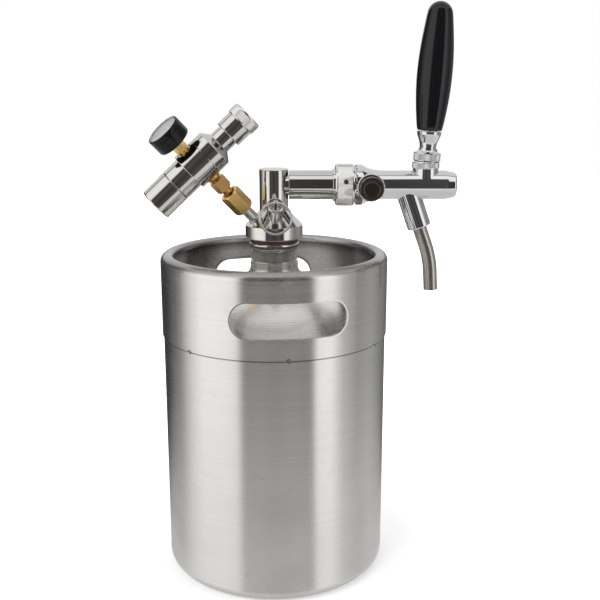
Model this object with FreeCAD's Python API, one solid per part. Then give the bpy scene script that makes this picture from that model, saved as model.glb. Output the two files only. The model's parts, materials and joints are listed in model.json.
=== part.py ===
import FreeCAD, Part
import math
import os

# Mini keg beer dispenser, in millimetres.
# Origin: centre of the keg's base. +Z is up, +X points along the tap.

# ---- keg ----
KEG_R = 85.0                # outer radius of the can
SHEET = 0.9                 # stainless sheet of can, dome and collar
BODY_TOP = 188.0            # where the can meets the dome
BASE_EDGE_R = 8.2           # outer bend of the base
BASE_PAD_R = 48.0           # flat middle of the base
BASE_GROOVE_R = 56.0        # middle of the stiffening groove in the base
BASE_GROOVE_H = 3.5
DOME_EDGE_R = 7.0
DOME_MID_R = 57.0
DOME_MID_Z = 213.5
DOME_BEND_R = 95.0          # gentle crown of the dome
DOME_TOP_Z = 231.5          # dome height where it meets its collar
DOME_FLARE = 7.0            # bend from the dome up to the neck
DOME_COLLAR = 9.0           # height of the dome's upturned collar
NECK_R = 17.2
NECK_WALL = 2.6
NECK_DROP = 7.0             # the neck tube reaches this far under the dome
LIP_R = 19.0
LIP_BOTTOM = 249.5
LIP_TOP = 254.6
THREAD_PITCH = 2.5
THREAD_DEPTH = 0.8
THREAD_TURNS = 5

# ---- handle collar ----
SKIRT_BOTTOM = 185.7
RIM_TOP = 247.0
RIM_OUTER_BEND = 4.8
RIM_ROLL_W = 8.8            # how far the rolled rim reaches in from the can
RIM_LIP_BEND = 2.8
RIM_CURL = 4.4              # how far the rim turns down inside
SLOT_HALF_ANGLE = 29.0
SLOT_Z_LOW = 199.7
SLOT_Z_HIGH = 226.9
SLOT_TURN = 9.0             # slots are turned this far towards the tap
SLOT_LIP_IN = 1.6           # how far the slots' turned lips reach in
SLOT_PANEL_ANGLE = 34.0     # half width of each slotted panel of the collar
SIDE_PANELS = 4             # plain panels on each side, between the slotted ones
WELD_COUNT = 7
WELD_PHASE = 8.0
WELD_R = 1.6
WELD_PROUD = 0.35

# ---- gasket and head ----
GASKET_R = 18.3
GASKET_THICK = 2.8
RING_R = 21.6
RING_H = 9.8
RING_CHAMFER = 0.8
COLUMN_R = 10.8
COLUMN_TOP = 309.0
COLUMN_WALL = 2.0
CONE_H = 11.0
PLUG_CLEAR = 0.4            # radial gap between the plug's crests and the neck
PLUG_DEPTH = 17.0
GAS_CHAMBER_R = 9.0
GAS_CHAMBER_H = 10.5        # height of the gas chamber above the ring's underside
DIP_R = 4.0
DIP_WALL = 0.8
DIP_END_Z = 9.0
DIP_TOP_ABOVE_CONE = 4.0
DIP_SLANT = 30.0            # slant of the cut foot, in degrees
DIP_SLANT_RISE = 1.0
SEAL_R = 1.0                # cord radius of the dip tube's seal
RUN_CLEAR = 0.05            # radial clearance of a running fit

# ---- arm and coupling ----
ARM_R = 10.7
ARM_WALL = 2.2
ARM_NECK_R = 7.6            # spigot between the column and the arm's square end
ARM_NECK_BORE = 6.0
ARM_STANDOFF = 0.6          # gap between the column's side and the arm's end
ARM_Z = 297.0
ARM_END = 44.0
SHANK_R = 12.0
SHANK_STEP = 49.0           # where the shank's retaining shoulder starts
SHOULDER_R = 13.2
SHOULDER_W = 2.0
SHANK_SEAL_T = 1.0
SHANK_BORE = 6.0
NUT_R = 15.65
NUT_REAR = 45.8
NUT_FRONT = 60.0
NUT_LIP_W = 3.0
NUT_CHAMFER = 1.0
NUT_CLEAR = 0.15
NUT_HOLE_R = 1.85
NUT_HOLE_X = 53.4
NUT_HOLE_COUNT = 4
NUT_HOLE_PHASE = -14.0      # first hole, from -Y towards the underside

# ---- tap body ----
FLANGE_X = 61.0
FLANGE_R = 15.0
FLANGE_W = 4.6
TOOTH_RING_W = 1.0
TOOTH_COUNT = 16
TOOTH_W = 1.6
TOOTH_DEPTH = 1.8
TAPER_END = 77.0
TAP_R = 10.6
TAP_NOSE_X = 128.0
TAP_END = 135.9
TAP_END_R = 7.4
REAR_BORE = 7.0
SEAT_X = 96.0
SEAT_BORE = 4.6
FRONT_BORE = 5.2
SEAT_W = 2.0
BORE_END = 122.0
BOSS_ROUND = 1.0

# ---- lever ----
LEVER_X = 113.1
PIVOT_Z = 306.0
LEVER_REST_TILT = 3.5       # forward lean of the handle with the tap shut
BALL_R = 4.2
SOCKET_CLEAR = 0.35
LEVER_THROW = 25.0          # forward swing that opens the tap
WASHER_R = 6.5
WASHER_LOW = 1.2            # above the pivot
WASHER_HIGH = 4.0
BOSS_R = 8.6
BOSS_TOP = 312.6
BONNET_R = 10.1
BONNET_BOTTOM = 309.4
BONNET_TOP = 314.5
BONNET_FIT = 0.05
BONNET_WALL = 1.6
DOME_GAP = 0.4              # gap between the bonnet's dome and the lever nut
LEVER_STEM_R = 2.0
TONGUE_R = 1.6
TONGUE_BALL_R = 2.4
NUT_RING_TOP = 15.2         # along the lever, from the pivot
LEVER_CONE_TOP = 18.2
LEVER_CONE_R = 6.7
FERRULE_R = 5.9
FERRULE_TOP_R = 8.9
FERRULE_TOP = 30.6
FERRULE_WAIST = 4.0         # height of the waist above the cone
HANDLE_BOTTOM = 31.0
HANDLE_LEN = 91.4
HANDLE_FOOT_R = 9.4
HANDLE_MAX_R = 12.9
HANDLE_FULL_LOW = 0.27      # the full width runs between these shares of its length
HANDLE_FULL_HIGH = 0.55
HANDLE_SEAT = 1.5           # step of the handle's seat inside the ferrule's edge
HANDLE_TIP_R = 9.3

# ---- shaft ----
SHAFT_R = 2.0
SHAFT_YOKE_R = 4.3
SHAFT_YOKE_LEN = 11.0
SLOT_CLEAR = 0.45
YOKE_FLARE = 1.3            # extra room at the slot's top for the slanting tongue
SEAL_DISC_R = 6.3
SEAL_DISC_T = 3.0
SEAT_BACKING_T = 1.5
SHAFT_REAR = 88.0

# ---- flow control ----
KNOB_X = 71.7
KNOB_Z = 296.5
KNOB_R = 8.8
KNOB_BOSS_R = 10.2
KNOB_BOSS_Y = 15.6          # how far the boss stands towards the knob
KNOB_LEN = 9.6
KNOB_GAP = 0.4
SPINDLE_R = 2.4
PIN_R = 1.0
PIN_OFFSET = 1.9
PIN_LEN = 2.6
COMP_LEN = 13.0
COMP_R = 6.5
COMP_NOSE_R = 2.6
COMP_SLOT_CLEAR = 0.7

# ---- spout ----
SPOUT_X = 102.3
SPOUT_TILT = 19.5
SPOUT_BOSS_R = 8.8
SPOUT_BOSS_LEN = 33.5       # from the tap's axis
SPOUT_R = 5.25
SPOUT_WALL = 0.9
SPOUT_SOCKET = 10.0         # how far the tube goes into the boss
SPOUT_STRAIGHT = 15.0
SPOUT_BEND_R = 75.0
SPOUT_END_TILT = 3.5
SPOUT_TAIL = 13.6

# ---- gas line ----
GAS_TURN = 28.0             # from -X towards -Y
PORT_TILT = 45.0            # both ports stand square on the cone
PORT_FROM_RING = 5.6        # height of the ports' feet above the ring
STUB_R = 3.9
STUB_BORE = 2.2
STUB_FOOT_R = 4.9
STUB_FOOT_H = 2.0
STUB_LEN = 11.3
STUB_HEAD_R = 5.2           # flare held by the swivel nut
STUB_HEAD_H = 3.0
SPOTFACE = 1.2
BILL_SEAT = 3.0             # length of the duckbill's seat, then its whole length
BILL_LEN = 8.0
BILL_TIP_R = 0.9
BILL_BORE = 0.5
SWIVEL_AF = 13.6
SWIVEL_LEN = 17.6
SWIVEL_LIP = 3.0
NIPPLE_R = 3.6
NIPPLE_GAP = 4.4
NIPPLE_AF = 10.6
NIPPLE_HEX = 9.9
NIPPLE_COLLAR = 4.9
NIPPLE_SPIGOT_R = 4.2
NIPPLE_SPIGOT = 3.5

# ---- regulator, along its own axis from the crossing with the gas line ----
REG_AXIS = (0.722, 0.1, 0.684)
REG_R = 14.5
REG_LOW = -10.0
REG_GROOVE = 6.8
REG_HIGH = 15.1
REG_SHOULDER = 19.8
REG_FLAT = 12.9             # flats for the gauge and the outlet
REG_FLAT_LEN = 12.5
BONNET_REG_R = 12.4
BONNET_REG_LOW = -23.0
REG_KNOB_LOW = -43.7
REG_KNOB_GAP = 0.5
REG_KNOB_WALL = 2.2
REG_KNOB_ROUND = 1.2
SKIRT_R = 9.2               # bonnet tube inside the knob
SKIRT_LEN = 12.0
SKIRT_WALL = 1.6
SCREW_R = 3.0
SCREW_END = -21.0
PISTON_R = 9.0
PISTON_T = 5.0
PISTON_FACE = -6.5
PISTON_SEAL_R = 0.7
SPRING_R = 6.2
SPRING_WIRE = 0.9
SPRING_TURNS = 4
PLATE_T = 2.0
PLATE_R = 7.0
VALVE_PIN_R = 1.2
INLET_NECK_R = 8.35
INLET_NECK_TOP = 28.4
INLET_RING_R = 10.4
INLET_RING_TOP = 40.2
INLET_END_R = 11.45
INLET_TOP = 48.7
INLET_SPIGOT = 5.0
CARTRIDGE_R = 4.6           # cartridge thread, crest radius in the socket
CARTRIDGE_DEPTH = 13.0
SOCKET_MOUTH_R = 6.5
SOCKET_MOUTH_DEPTH = 2.0
THREAD_LEN = 6.0            # full cartridge thread below the mouth
THREAD_RELIEF_R = 5.1
PIERCE_R = 0.9
PIERCE_LEN = 3.0

# ---- gauge, along the gas line's axis from the regulator's axis ----
GAUGE_OFFSET = -2.0
GAUGE_STEM_AF = 8.6
GAUGE_BACK = 22.8
GAUGE_R = 13.0
GAUGE_DEPTH = 13.0
GAUGE_WALL = 1.3
GAUGE_STEM_R = 3.0
GAUGE_PORT_DEPTH = 3.5
GAUGE_GAS_R = 1.0
DIAL_T = 0.5
LENS_T = 1.2
NEEDLE_LEN = 8.6
NEEDLE_W = 1.0
NEEDLE_T = 0.4
NEEDLE_HUB_R = 1.5
NEEDLE_REST = 135.0
NEEDLE_TAIL = 3.0
NEEDLE_TIP_W = 0.3
NEEDLE_GAP = 0.6            # between the dial and the needle
ARBOR_R = 0.5
DIAL_DEPTH = 2.4            # from the lens down to the dial
TUBE_OUTER_R = 8.4          # Bourdon tube: a flat C round the stem's end
TUBE_INNER_R = 6.6
TUBE_T = 1.2
TUBE_STRAP_W = 2.4

# ---- relief valve ----
RELIEF_TURN = 94.0          # measured like GAS_TURN, just past -Y
RELIEF_R = 5.7
RELIEF_CAP_R = 6.6
RELIEF_CAP_H = 5.5
RELIEF_LEN = 18.3
RELIEF_BORE = 3.4
RELIEF_STEM_R = 1.9
RELIEF_STEM_OUT = 4.6
RELIEF_HOLE_R = 1.15
RELIEF_SEAL_R = 2.9
RELIEF_SEAL_T = 1.5
RELIEF_FLANGE_T = 1.5
RELIEF_SEAT_BORE = 1.6
RELIEF_HOLE_DROP = 2.1      # cross hole below the stem's end
RELIEF_WIRE = 0.35
RELIEF_COIL_GAP = 0.4
RELIEF_COILS = 6
VENT_R = 0.7
VENT_RISE = 1.2
PULL_WIRE_R = 0.8
PULL_RING_R = 11.5          # to the middle of the wire

# ---- values that follow from the sizes above ----
X = FreeCAD.Vector(1, 0, 0)
Y = FreeCAD.Vector(0, 1, 0)
Z = FreeCAD.Vector(0, 0, 1)
ORIGIN = FreeCAD.Vector(0, 0, 0)
GASKET_TOP = LIP_TOP + GASKET_THICK
RING_TOP = GASKET_TOP + RING_H
CONE_TOP = RING_TOP + CONE_H
COLLAR_R = KEG_R + SHEET
RIM_LIP_R = KEG_R - RIM_ROLL_W
NECK_BOTTOM = DOME_TOP_Z - NECK_DROP


def vec(x, y, z):
    return FreeCAD.Vector(x, y, z)


def unit(v):
    return vec(*v).normalize()


# ---- helpers ----
def corner(before, at, after, radius):
    """The two tangent points and the middle of an arc that rounds a corner."""
    a = (before - at).normalize()
    b = (after - at).normalize()
    half = a.getAngle(b) / 2
    reach = radius / math.tan(half)
    centre = at + (a + b).normalize() * (radius / math.sin(half))
    middle = centre + (at - centre).normalize() * radius
    return at + a * reach, middle, at + b * reach


def path(points, closed=False):
    """A wire in the XZ plane through (x, z) or (x, z, corner radius) points."""
    places = [vec(p[0], 0, p[1]) for p in points]
    radii = [p[2] if len(p) > 2 else 0 for p in points]
    count = len(points)
    edges = []
    last = None
    first = None
    for i in range(count):
        inner = closed or 0 < i < count - 1
        if radii[i] > 0 and inner:
            start, middle, end = corner(places[i - 1], places[i], places[(i + 1) % count], radii[i])
        else:
            start, middle, end = places[i], None, places[i]
        if last is not None and last.distanceToPoint(start) > 1e-6:
            edges.append(Part.LineSegment(last, start).toShape())
        if middle is not None:
            edges.append(Part.Arc(start, middle, end).toShape())
        if first is None:
            first = start
        last = end
    if closed and last.distanceToPoint(first) > 1e-6:
        edges.append(Part.LineSegment(last, first).toShape())
    return Part.Wire(edges)


def turned(points):
    """A solid of revolution about Z from a closed outline of (r, z) points."""
    return Part.Face(path(points, closed=True)).revolve(ORIGIN, Z, 360)


def shifted(points, amount):
    """The same line moved sideways, to its left for a positive amount."""
    places = [vec(p[0], 0, p[1]) for p in points]
    normals = []
    for start, end in zip(places, places[1:]):
        along = (end - start).normalize()
        normals.append(vec(-along.z, 0, along.x))
    result = []
    for i, point in enumerate(points):
        before = normals[max(i - 1, 0)]
        after = normals[min(i, len(normals) - 1)]
        at = places[i] + (before + after) * (amount / (1 + before.dot(after)))
        radius = point[2] if len(point) > 2 else 0
        side = math.copysign(1, before.z * after.x - before.x * after.z)
        result.append((at.x, at.z, max(radius + side * amount, 0) if radius else 0))
    return result


def pressed(points, thickness):
    """Sheet metal turned about Z: an open line of points, thickened to its left."""
    return turned(list(points) + shifted(points, thickness)[::-1])


def rod(radius, start, end):
    """A cylinder between two points."""
    return Part.makeCylinder(radius, (end - start).Length, start, end - start)


def disc(radius, low, high):
    """A cylinder on Z between two heights."""
    return Part.makeCylinder(radius, high - low, vec(0, 0, low))


def tube(outer, inner, low, high):
    return disc(outer, low, high).cut(disc(inner, low, high))


def prism(flats, low, high, chamfer=0.8):
    """A hexagonal bar on Z with turned, chamfered corners."""
    corner_r = flats / math.sqrt(3)
    points = []
    for i in range(7):
        a = math.radians(60 * i)
        points.append(vec(corner_r * math.cos(a), corner_r * math.sin(a), low))
    bar = Part.Face(Part.makePolygon(points)).extrude(Z * (high - low))
    edge_r = flats / 2 + 0.1
    barrel = turned([(0, low), (edge_r, low), (corner_r, low + chamfer),
                     (corner_r, high - chamfer), (edge_r, high), (0, high)])
    return bar.common(barrel)


def put(shape, origin, z_axis, x_axis=None):
    """Move a shape drawn about Z onto another axis."""
    z_dir = vec(z_axis.x, z_axis.y, z_axis.z).normalize()
    if x_axis is None:
        turn = FreeCAD.Rotation(Z, z_dir)
    else:
        y_dir = z_dir.cross(x_axis).normalize()
        turn = FreeCAD.Rotation(y_dir.cross(z_dir), y_dir, z_dir, "ZXY")
    moved = shape.copy()
    moved.Placement = FreeCAD.Placement(origin, turn).multiply(moved.Placement)
    return moved


def spun(shape, degrees, axis=Z, centre=ORIGIN):
    moved = shape.copy()
    moved.rotate(centre, axis, degrees)
    return moved


def fused(*shapes):
    return shapes[0].multiFuse(list(shapes[1:])).removeSplitter()


def coil(radius, wire, turns, low, high):
    """A compression spring on Z."""
    pitch = (high - low - 2 * wire) / turns
    line = Part.makeHelix(pitch, pitch * turns, radius)
    start = vec(radius, 0, 0)
    along = vec(0, 2 * math.pi * radius, pitch)
    ring = Part.Wire(Part.makeCircle(wire, start, along))
    sweep = Part.BRepOffsetAPI.MakePipeShell(Part.Wire(line))
    sweep.setFrenetMode(True)
    sweep.add(ring)
    sweep.build()
    sweep.makeSolid()
    spring = sweep.shape()
    spring.translate(vec(0, 0, low + wire))
    return spring


def save(name, shape):
    """Write one piece, as its own solids, to its STEP file."""
    solids = shape.Solids
    if not solids or not shape.isValid():
        raise ValueError(name + " is not a valid solid")
    piece = solids[0] if len(solids) == 1 else Part.makeCompound(solids)
    piece.exportStep("parts/" + name + ".step")


os.makedirs("parts", exist_ok=True)


# ---- keg: can, dome, neck ----
def keg_body():
    """The can, with a pressed groove round its flat base."""
    width = BASE_GROOVE_R - BASE_PAD_R
    line = [(0, 0), (BASE_PAD_R, 0, 3), (BASE_GROOVE_R - width / 4, BASE_GROOVE_H, 2),
            (BASE_GROOVE_R + width / 4, BASE_GROOVE_H, 2), (BASE_GROOVE_R + width, 0, 3),
            (KEG_R, 0, BASE_EDGE_R), (KEG_R, BODY_TOP)]
    return pressed(line, SHEET)


def keg_dome():
    """The domed top, turned up round the neck."""
    line = [(KEG_R, BODY_TOP), (KEG_R, BODY_TOP + 4, DOME_EDGE_R),
            (DOME_MID_R, DOME_MID_Z, DOME_BEND_R), (NECK_R + SHEET, DOME_TOP_Z, DOME_FLARE),
            (NECK_R + SHEET, DOME_TOP_Z + DOME_COLLAR)]
    return pressed(line, SHEET)


def thread_grooves(radius, low):
    """Rings that stand for a thread's grooves, cut outwards from a bore."""
    rings = []
    for i in range(THREAD_TURNS):
        z = low + i * THREAD_PITCH
        rings.append(turned([(radius - 0.5, z), (radius, z), (radius + THREAD_DEPTH, z + THREAD_DEPTH),
                             (radius, z + 2 * THREAD_DEPTH), (radius - 0.5, z + 2 * THREAD_DEPTH)]))
    return rings


def keg_neck():
    """The neck: a tube with a rolled lip outside and a thread inside."""
    bore = NECK_R - NECK_WALL
    body = turned([(bore, NECK_BOTTOM), (NECK_R, NECK_BOTTOM), (NECK_R, LIP_BOTTOM, 1.0),
                   (LIP_R, LIP_BOTTOM, 1.6), (LIP_R, LIP_TOP, 1.6), (bore, LIP_TOP, 0.6)])
    first = LIP_TOP - PLUG_DEPTH + 1.0
    return body.cut(Part.makeCompound(thread_grooves(bore, first)))


save("keg_body", keg_body())
save("keg_dome", keg_dome())
save("keg_neck", keg_neck())


# ---- handle collar ----
def slot_bar(half_angle, low, high, inner, outer):
    """A round-ended bar through the collar wall, facing -Y."""
    half = KEG_R * math.radians(half_angle) - (high - low) / 2
    swing = math.degrees(half / KEG_R)
    middle = (low + high) / 2
    end_r = (high - low) / 2
    ring = turned([(inner, low), (outer, low), (outer, high), (inner, high)])
    reach = 2 * outer
    left = math.radians(-90 - swing)
    right = math.radians(-90 + swing)
    wedge = Part.Face(Part.makePolygon([
        vec(0, 0, low), vec(reach * math.cos(left), reach * math.sin(left), low),
        vec(0, -2 * reach, low),
        vec(reach * math.cos(right), reach * math.sin(right), low),
        vec(0, 0, low)])).extrude(Z * (high - low))
    pieces = [ring.common(wedge)]
    for side in (left, right):
        out = vec(math.cos(side), math.sin(side), 0)
        pieces.append(rod(end_r, out * inner + Z * middle, out * outer + Z * middle))
    return fused(*pieces)


def collar_sheet():
    """Skirt, rolled rim and two hand slots with turned lips."""
    skirt = pressed([(KEG_R, SKIRT_BOTTOM), (KEG_R, RIM_TOP - SHEET, RIM_OUTER_BEND),
                     (RIM_LIP_R + SHEET, RIM_TOP - SHEET, RIM_LIP_BEND),
                     (RIM_LIP_R + SHEET, RIM_TOP - SHEET - RIM_CURL)], -SHEET)
    inner = KEG_R - SLOT_LIP_IN
    shape = skirt
    for turn in (SLOT_TURN, SLOT_TURN + 180):
        lip = slot_bar(SLOT_HALF_ANGLE, SLOT_Z_LOW, SLOT_Z_HIGH, inner, COLLAR_R)
        degrees = math.degrees(SHEET / KEG_R)
        hole = slot_bar(SLOT_HALF_ANGLE - degrees, SLOT_Z_LOW + SHEET, SLOT_Z_HIGH - SHEET,
                        inner - 2, COLLAR_R + 2)
        shape = fused(shape, spun(lip, turn)).cut(spun(hole, turn))
    return shape


def panel(sheet, start, end):
    """The collar's sheet between two directions about the keg's axis, in degrees."""
    reach = 2 * COLLAR_R
    rays = [vec(reach * math.cos(math.radians(a)), reach * math.sin(math.radians(a)), 0)
            for a in (start, (start + end) / 2, end)]
    sector = Part.Face(Part.makePolygon([ORIGIN] + rays + [ORIGIN])).extrude(Z * 2 * RIM_TOP)
    return sheet.common(sector)


def collar_panels():
    """Front and back slotted panels, and the plain panels welded between them."""
    sheet = collar_sheet()
    front = SLOT_TURN - 90
    step = (180 - 2 * SLOT_PANEL_ANGLE) / SIDE_PANELS
    sides = []
    for base in (front + SLOT_PANEL_ANGLE, front + SLOT_PANEL_ANGLE + 180):
        for i in range(SIDE_PANELS):
            sides.append(panel(sheet, base + i * step, base + (i + 1) * step))
    slotted = [panel(sheet, middle - SLOT_PANEL_ANGLE, middle + SLOT_PANEL_ANGLE)
               for middle in (front, front + 180)]
    return slotted[0], slotted[1], Part.makeCompound(sides)


def weld_marks():
    """Spot welds along the seam under the collar."""
    spots = []
    for i in range(WELD_COUNT):
        a = math.radians(-90 + WELD_PHASE + i * 360 / WELD_COUNT)
        out = vec(math.cos(a), math.sin(a), 0)
        spot = rod(WELD_R, out * KEG_R, out * (COLLAR_R + WELD_PROUD))
        spot.translate(Z * (SKIRT_BOTTOM - 0.2))
        sleeve = tube(COLLAR_R, KEG_R - 1, SKIRT_BOTTOM, RIM_TOP)
        can = disc(KEG_R, 0, RIM_TOP)
        spots.append(spot.cut(sleeve).cut(can))
    return Part.makeCompound([s.Solids[0] for s in spots])


for name, piece in zip(("slot_panel_front", "slot_panel_back", "handle_collar"), collar_panels()):
    save(name, piece)
save("seam_welds", weld_marks())


# ---- gasket, head and dip tube ----
def ports():
    """Foot point and outward direction of the gas port and the relief port."""
    result = []
    for turn in (GAS_TURN, RELIEF_TURN):
        a = math.radians(turn)
        tilt = math.radians(PORT_TILT)
        out = vec(-math.cos(a), -math.sin(a), 0)
        foot_r = RING_R - PORT_FROM_RING * (RING_R - COLUMN_R) / CONE_H
        foot = out * foot_r + Z * (RING_TOP + PORT_FROM_RING)
        result.append((foot, out * math.cos(tilt) + Z * math.sin(tilt)))
    return result


GAS_FOOT, GAS_DIR = ports()[0]
RELIEF_FOOT, RELIEF_DIR = ports()[1]


def cap_gasket():
    return tube(GASKET_R, NECK_R - NECK_WALL, LIP_TOP, GASKET_TOP)


def head_hub():
    """Threaded plug, ring and cone, with the gas chamber and both ports."""
    crest = NECK_R - NECK_WALL - PLUG_CLEAR
    low = LIP_TOP - PLUG_DEPTH
    plug = turned([(0, low), (crest, low, 1.0), (crest, GASKET_TOP), (0, GASKET_TOP)])
    first = low + 1.0 + THREAD_DEPTH
    grooves = []
    for i in range(THREAD_TURNS):
        z = first + i * THREAD_PITCH
        root = crest - THREAD_DEPTH
        grooves.append(turned([(root, z), (crest, z - THREAD_DEPTH), (crest + 1, z - THREAD_DEPTH),
                               (crest + 1, z + THREAD_DEPTH), (crest, z + THREAD_DEPTH)]))
    upper = turned([(0, GASKET_TOP), (RING_R, GASKET_TOP, RING_CHAMFER), (RING_R, RING_TOP),
                    (COLUMN_R, CONE_TOP), (0, CONE_TOP)])
    hub = fused(plug.cut(Part.makeCompound(grooves)), upper)
    hub = hub.cut(disc(GAS_CHAMBER_R, low - 1, GASKET_TOP + GAS_CHAMBER_H))
    hub = hub.cut(disc(DIP_R + RUN_CLEAR, low, CONE_TOP + 1))
    hub = hub.cut(seal_groove())
    for foot, out, spot_r, bore in ((GAS_FOOT, GAS_DIR, STUB_FOOT_R, STUB_BORE),
                                    (RELIEF_FOOT, RELIEF_DIR, RELIEF_R, RELIEF_BORE)):
        hub = hub.cut(rod(spot_r, foot - out * SPOTFACE, foot + out * 8))
        hub = hub.cut(rod(bore, foot - out * 11, foot))
    return hub


SEAL_Z = RING_TOP + CONE_H * 0.55


def seal_groove():
    deep = DIP_R + 1.8 * SEAL_R
    return turned([(DIP_R - 1, SEAL_Z - 1.2 * SEAL_R), (deep, SEAL_Z - 1.2 * SEAL_R),
                   (deep, SEAL_Z + 1.2 * SEAL_R), (DIP_R - 1, SEAL_Z + 1.2 * SEAL_R)])


def dip_tube_seal():
    return Part.makeTorus(DIP_R + 0.9 * SEAL_R, 0.9 * SEAL_R, vec(0, 0, SEAL_Z))


def dip_tube():
    """Draws from just above the base; its foot is cut at a slant."""
    pipe = tube(DIP_R, DIP_R - DIP_WALL, DIP_END_Z, CONE_TOP + DIP_TOP_ABOVE_CONE)
    reach = 4 * DIP_R
    slant = Part.makeBox(2 * reach, 2 * reach, reach, vec(-reach, -reach, -reach))
    slant.rotate(ORIGIN, Y, DIP_SLANT)
    slant.translate(Z * (DIP_END_Z + DIP_SLANT_RISE))
    return pipe.cut(slant)


def column():
    """The upright tube with its welded cap; the arm's bore opens into it."""
    body = turned([(0, CONE_TOP), (COLUMN_R, CONE_TOP), (COLUMN_R, COLUMN_TOP, 1.0), (0, COLUMN_TOP)])
    body = body.cut(disc(COLUMN_R - COLUMN_WALL, CONE_TOP - 1, COLUMN_TOP - COLUMN_WALL))
    return body.cut(rod(ARM_NECK_BORE, vec(0, 0, ARM_Z), vec(COLUMN_R + 1, 0, ARM_Z)))


def arm_tube():
    """The side arm: a square-ended tube on a spigot that is saddled onto the column."""
    square = COLUMN_R + ARM_STANDOFF
    outside = turned([(0, 0), (ARM_NECK_R, 0), (ARM_NECK_R, square), (ARM_R, square, 0.4),
                      (ARM_R, ARM_END), (0, ARM_END)])
    wide = square + ARM_WALL
    hollow = turned([(0, -1), (ARM_NECK_BORE, -1), (ARM_NECK_BORE, wide), (ARM_R - ARM_WALL, wide),
                     (ARM_R - ARM_WALL, ARM_END + 1), (0, ARM_END + 1)])
    arm = put(outside.cut(hollow), vec(0, 0, ARM_Z), X, Z)
    return arm.cut(disc(COLUMN_R, CONE_TOP, COLUMN_TOP + ARM_R))


save("cap_gasket", cap_gasket())
save("head_hub", head_hub())
save("dip_tube_seal", dip_tube_seal())
save("dip_tube", dip_tube())
save("column", column())
save("arm_tube", arm_tube())


# ---- shank, collar nut and tap body, drawn about Z and laid along +X ----
def along_arm(shape):
    """Lay a shape drawn about Z along the arm, its Z becoming X."""
    return put(shape, vec(0, 0, ARM_Z), X, Z)


SHANK_FACE = SHANK_STEP + SHOULDER_W
SPIGOT_START = SHANK_FACE + SHANK_SEAL_T


def shank_flange():
    """Flange with the shoulder that keeps the collar nut on the arm."""
    return along_arm(turned([
        (SHANK_BORE, ARM_END), (SHANK_R, ARM_END, 0.6), (SHANK_R, SHANK_STEP),
        (SHOULDER_R, SHANK_STEP), (SHOULDER_R, SHANK_FACE, 0.5), (SHANK_BORE, SHANK_FACE)]))


def shank_seal():
    return along_arm(tube(SHOULDER_R - 1.2, SHANK_BORE, SHANK_FACE, SPIGOT_START))


def collar_nut():
    """Round nut with spanner holes; its lip pulls the shank onto the tap."""
    lip_r = SHANK_R + NUT_CLEAR
    bore = SHOULDER_R + NUT_CLEAR
    nut = turned([(lip_r, NUT_REAR), (NUT_R - NUT_CHAMFER, NUT_REAR), (NUT_R, NUT_REAR + NUT_CHAMFER),
                  (NUT_R, NUT_FRONT - NUT_CHAMFER), (NUT_R - NUT_CHAMFER, NUT_FRONT),
                  (bore, NUT_FRONT), (bore, NUT_REAR + NUT_LIP_W), (lip_r, NUT_REAR + NUT_LIP_W)])
    for i in range(NUT_HOLE_COUNT):
        hole = rod(NUT_HOLE_R, vec(bore - 1, 0, NUT_HOLE_X), vec(NUT_R + 1, 0, NUT_HOLE_X))
        nut = nut.cut(spun(hole, NUT_HOLE_PHASE + 90 + i * 360 / NUT_HOLE_COUNT))
    return along_arm(nut)


def spout_frame():
    """Foot on the tap's axis and downward direction of the spout boss."""
    tilt = math.radians(SPOUT_TILT)
    return vec(SPOUT_X - ARM_R * math.tan(tilt), 0, ARM_Z), vec(math.sin(tilt), 0, -math.cos(tilt))


SPOUT_FOOT, SPOUT_DIR = spout_frame()
KNOB_FOOT = vec(KNOB_X, 0, KNOB_Z)


def rounded_boss(radius, height):
    """A boss on Z with a rounded rim."""
    return turned([(0, 0), (radius, 0), (radius, height, BOSS_ROUND), (0, height)])


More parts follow.
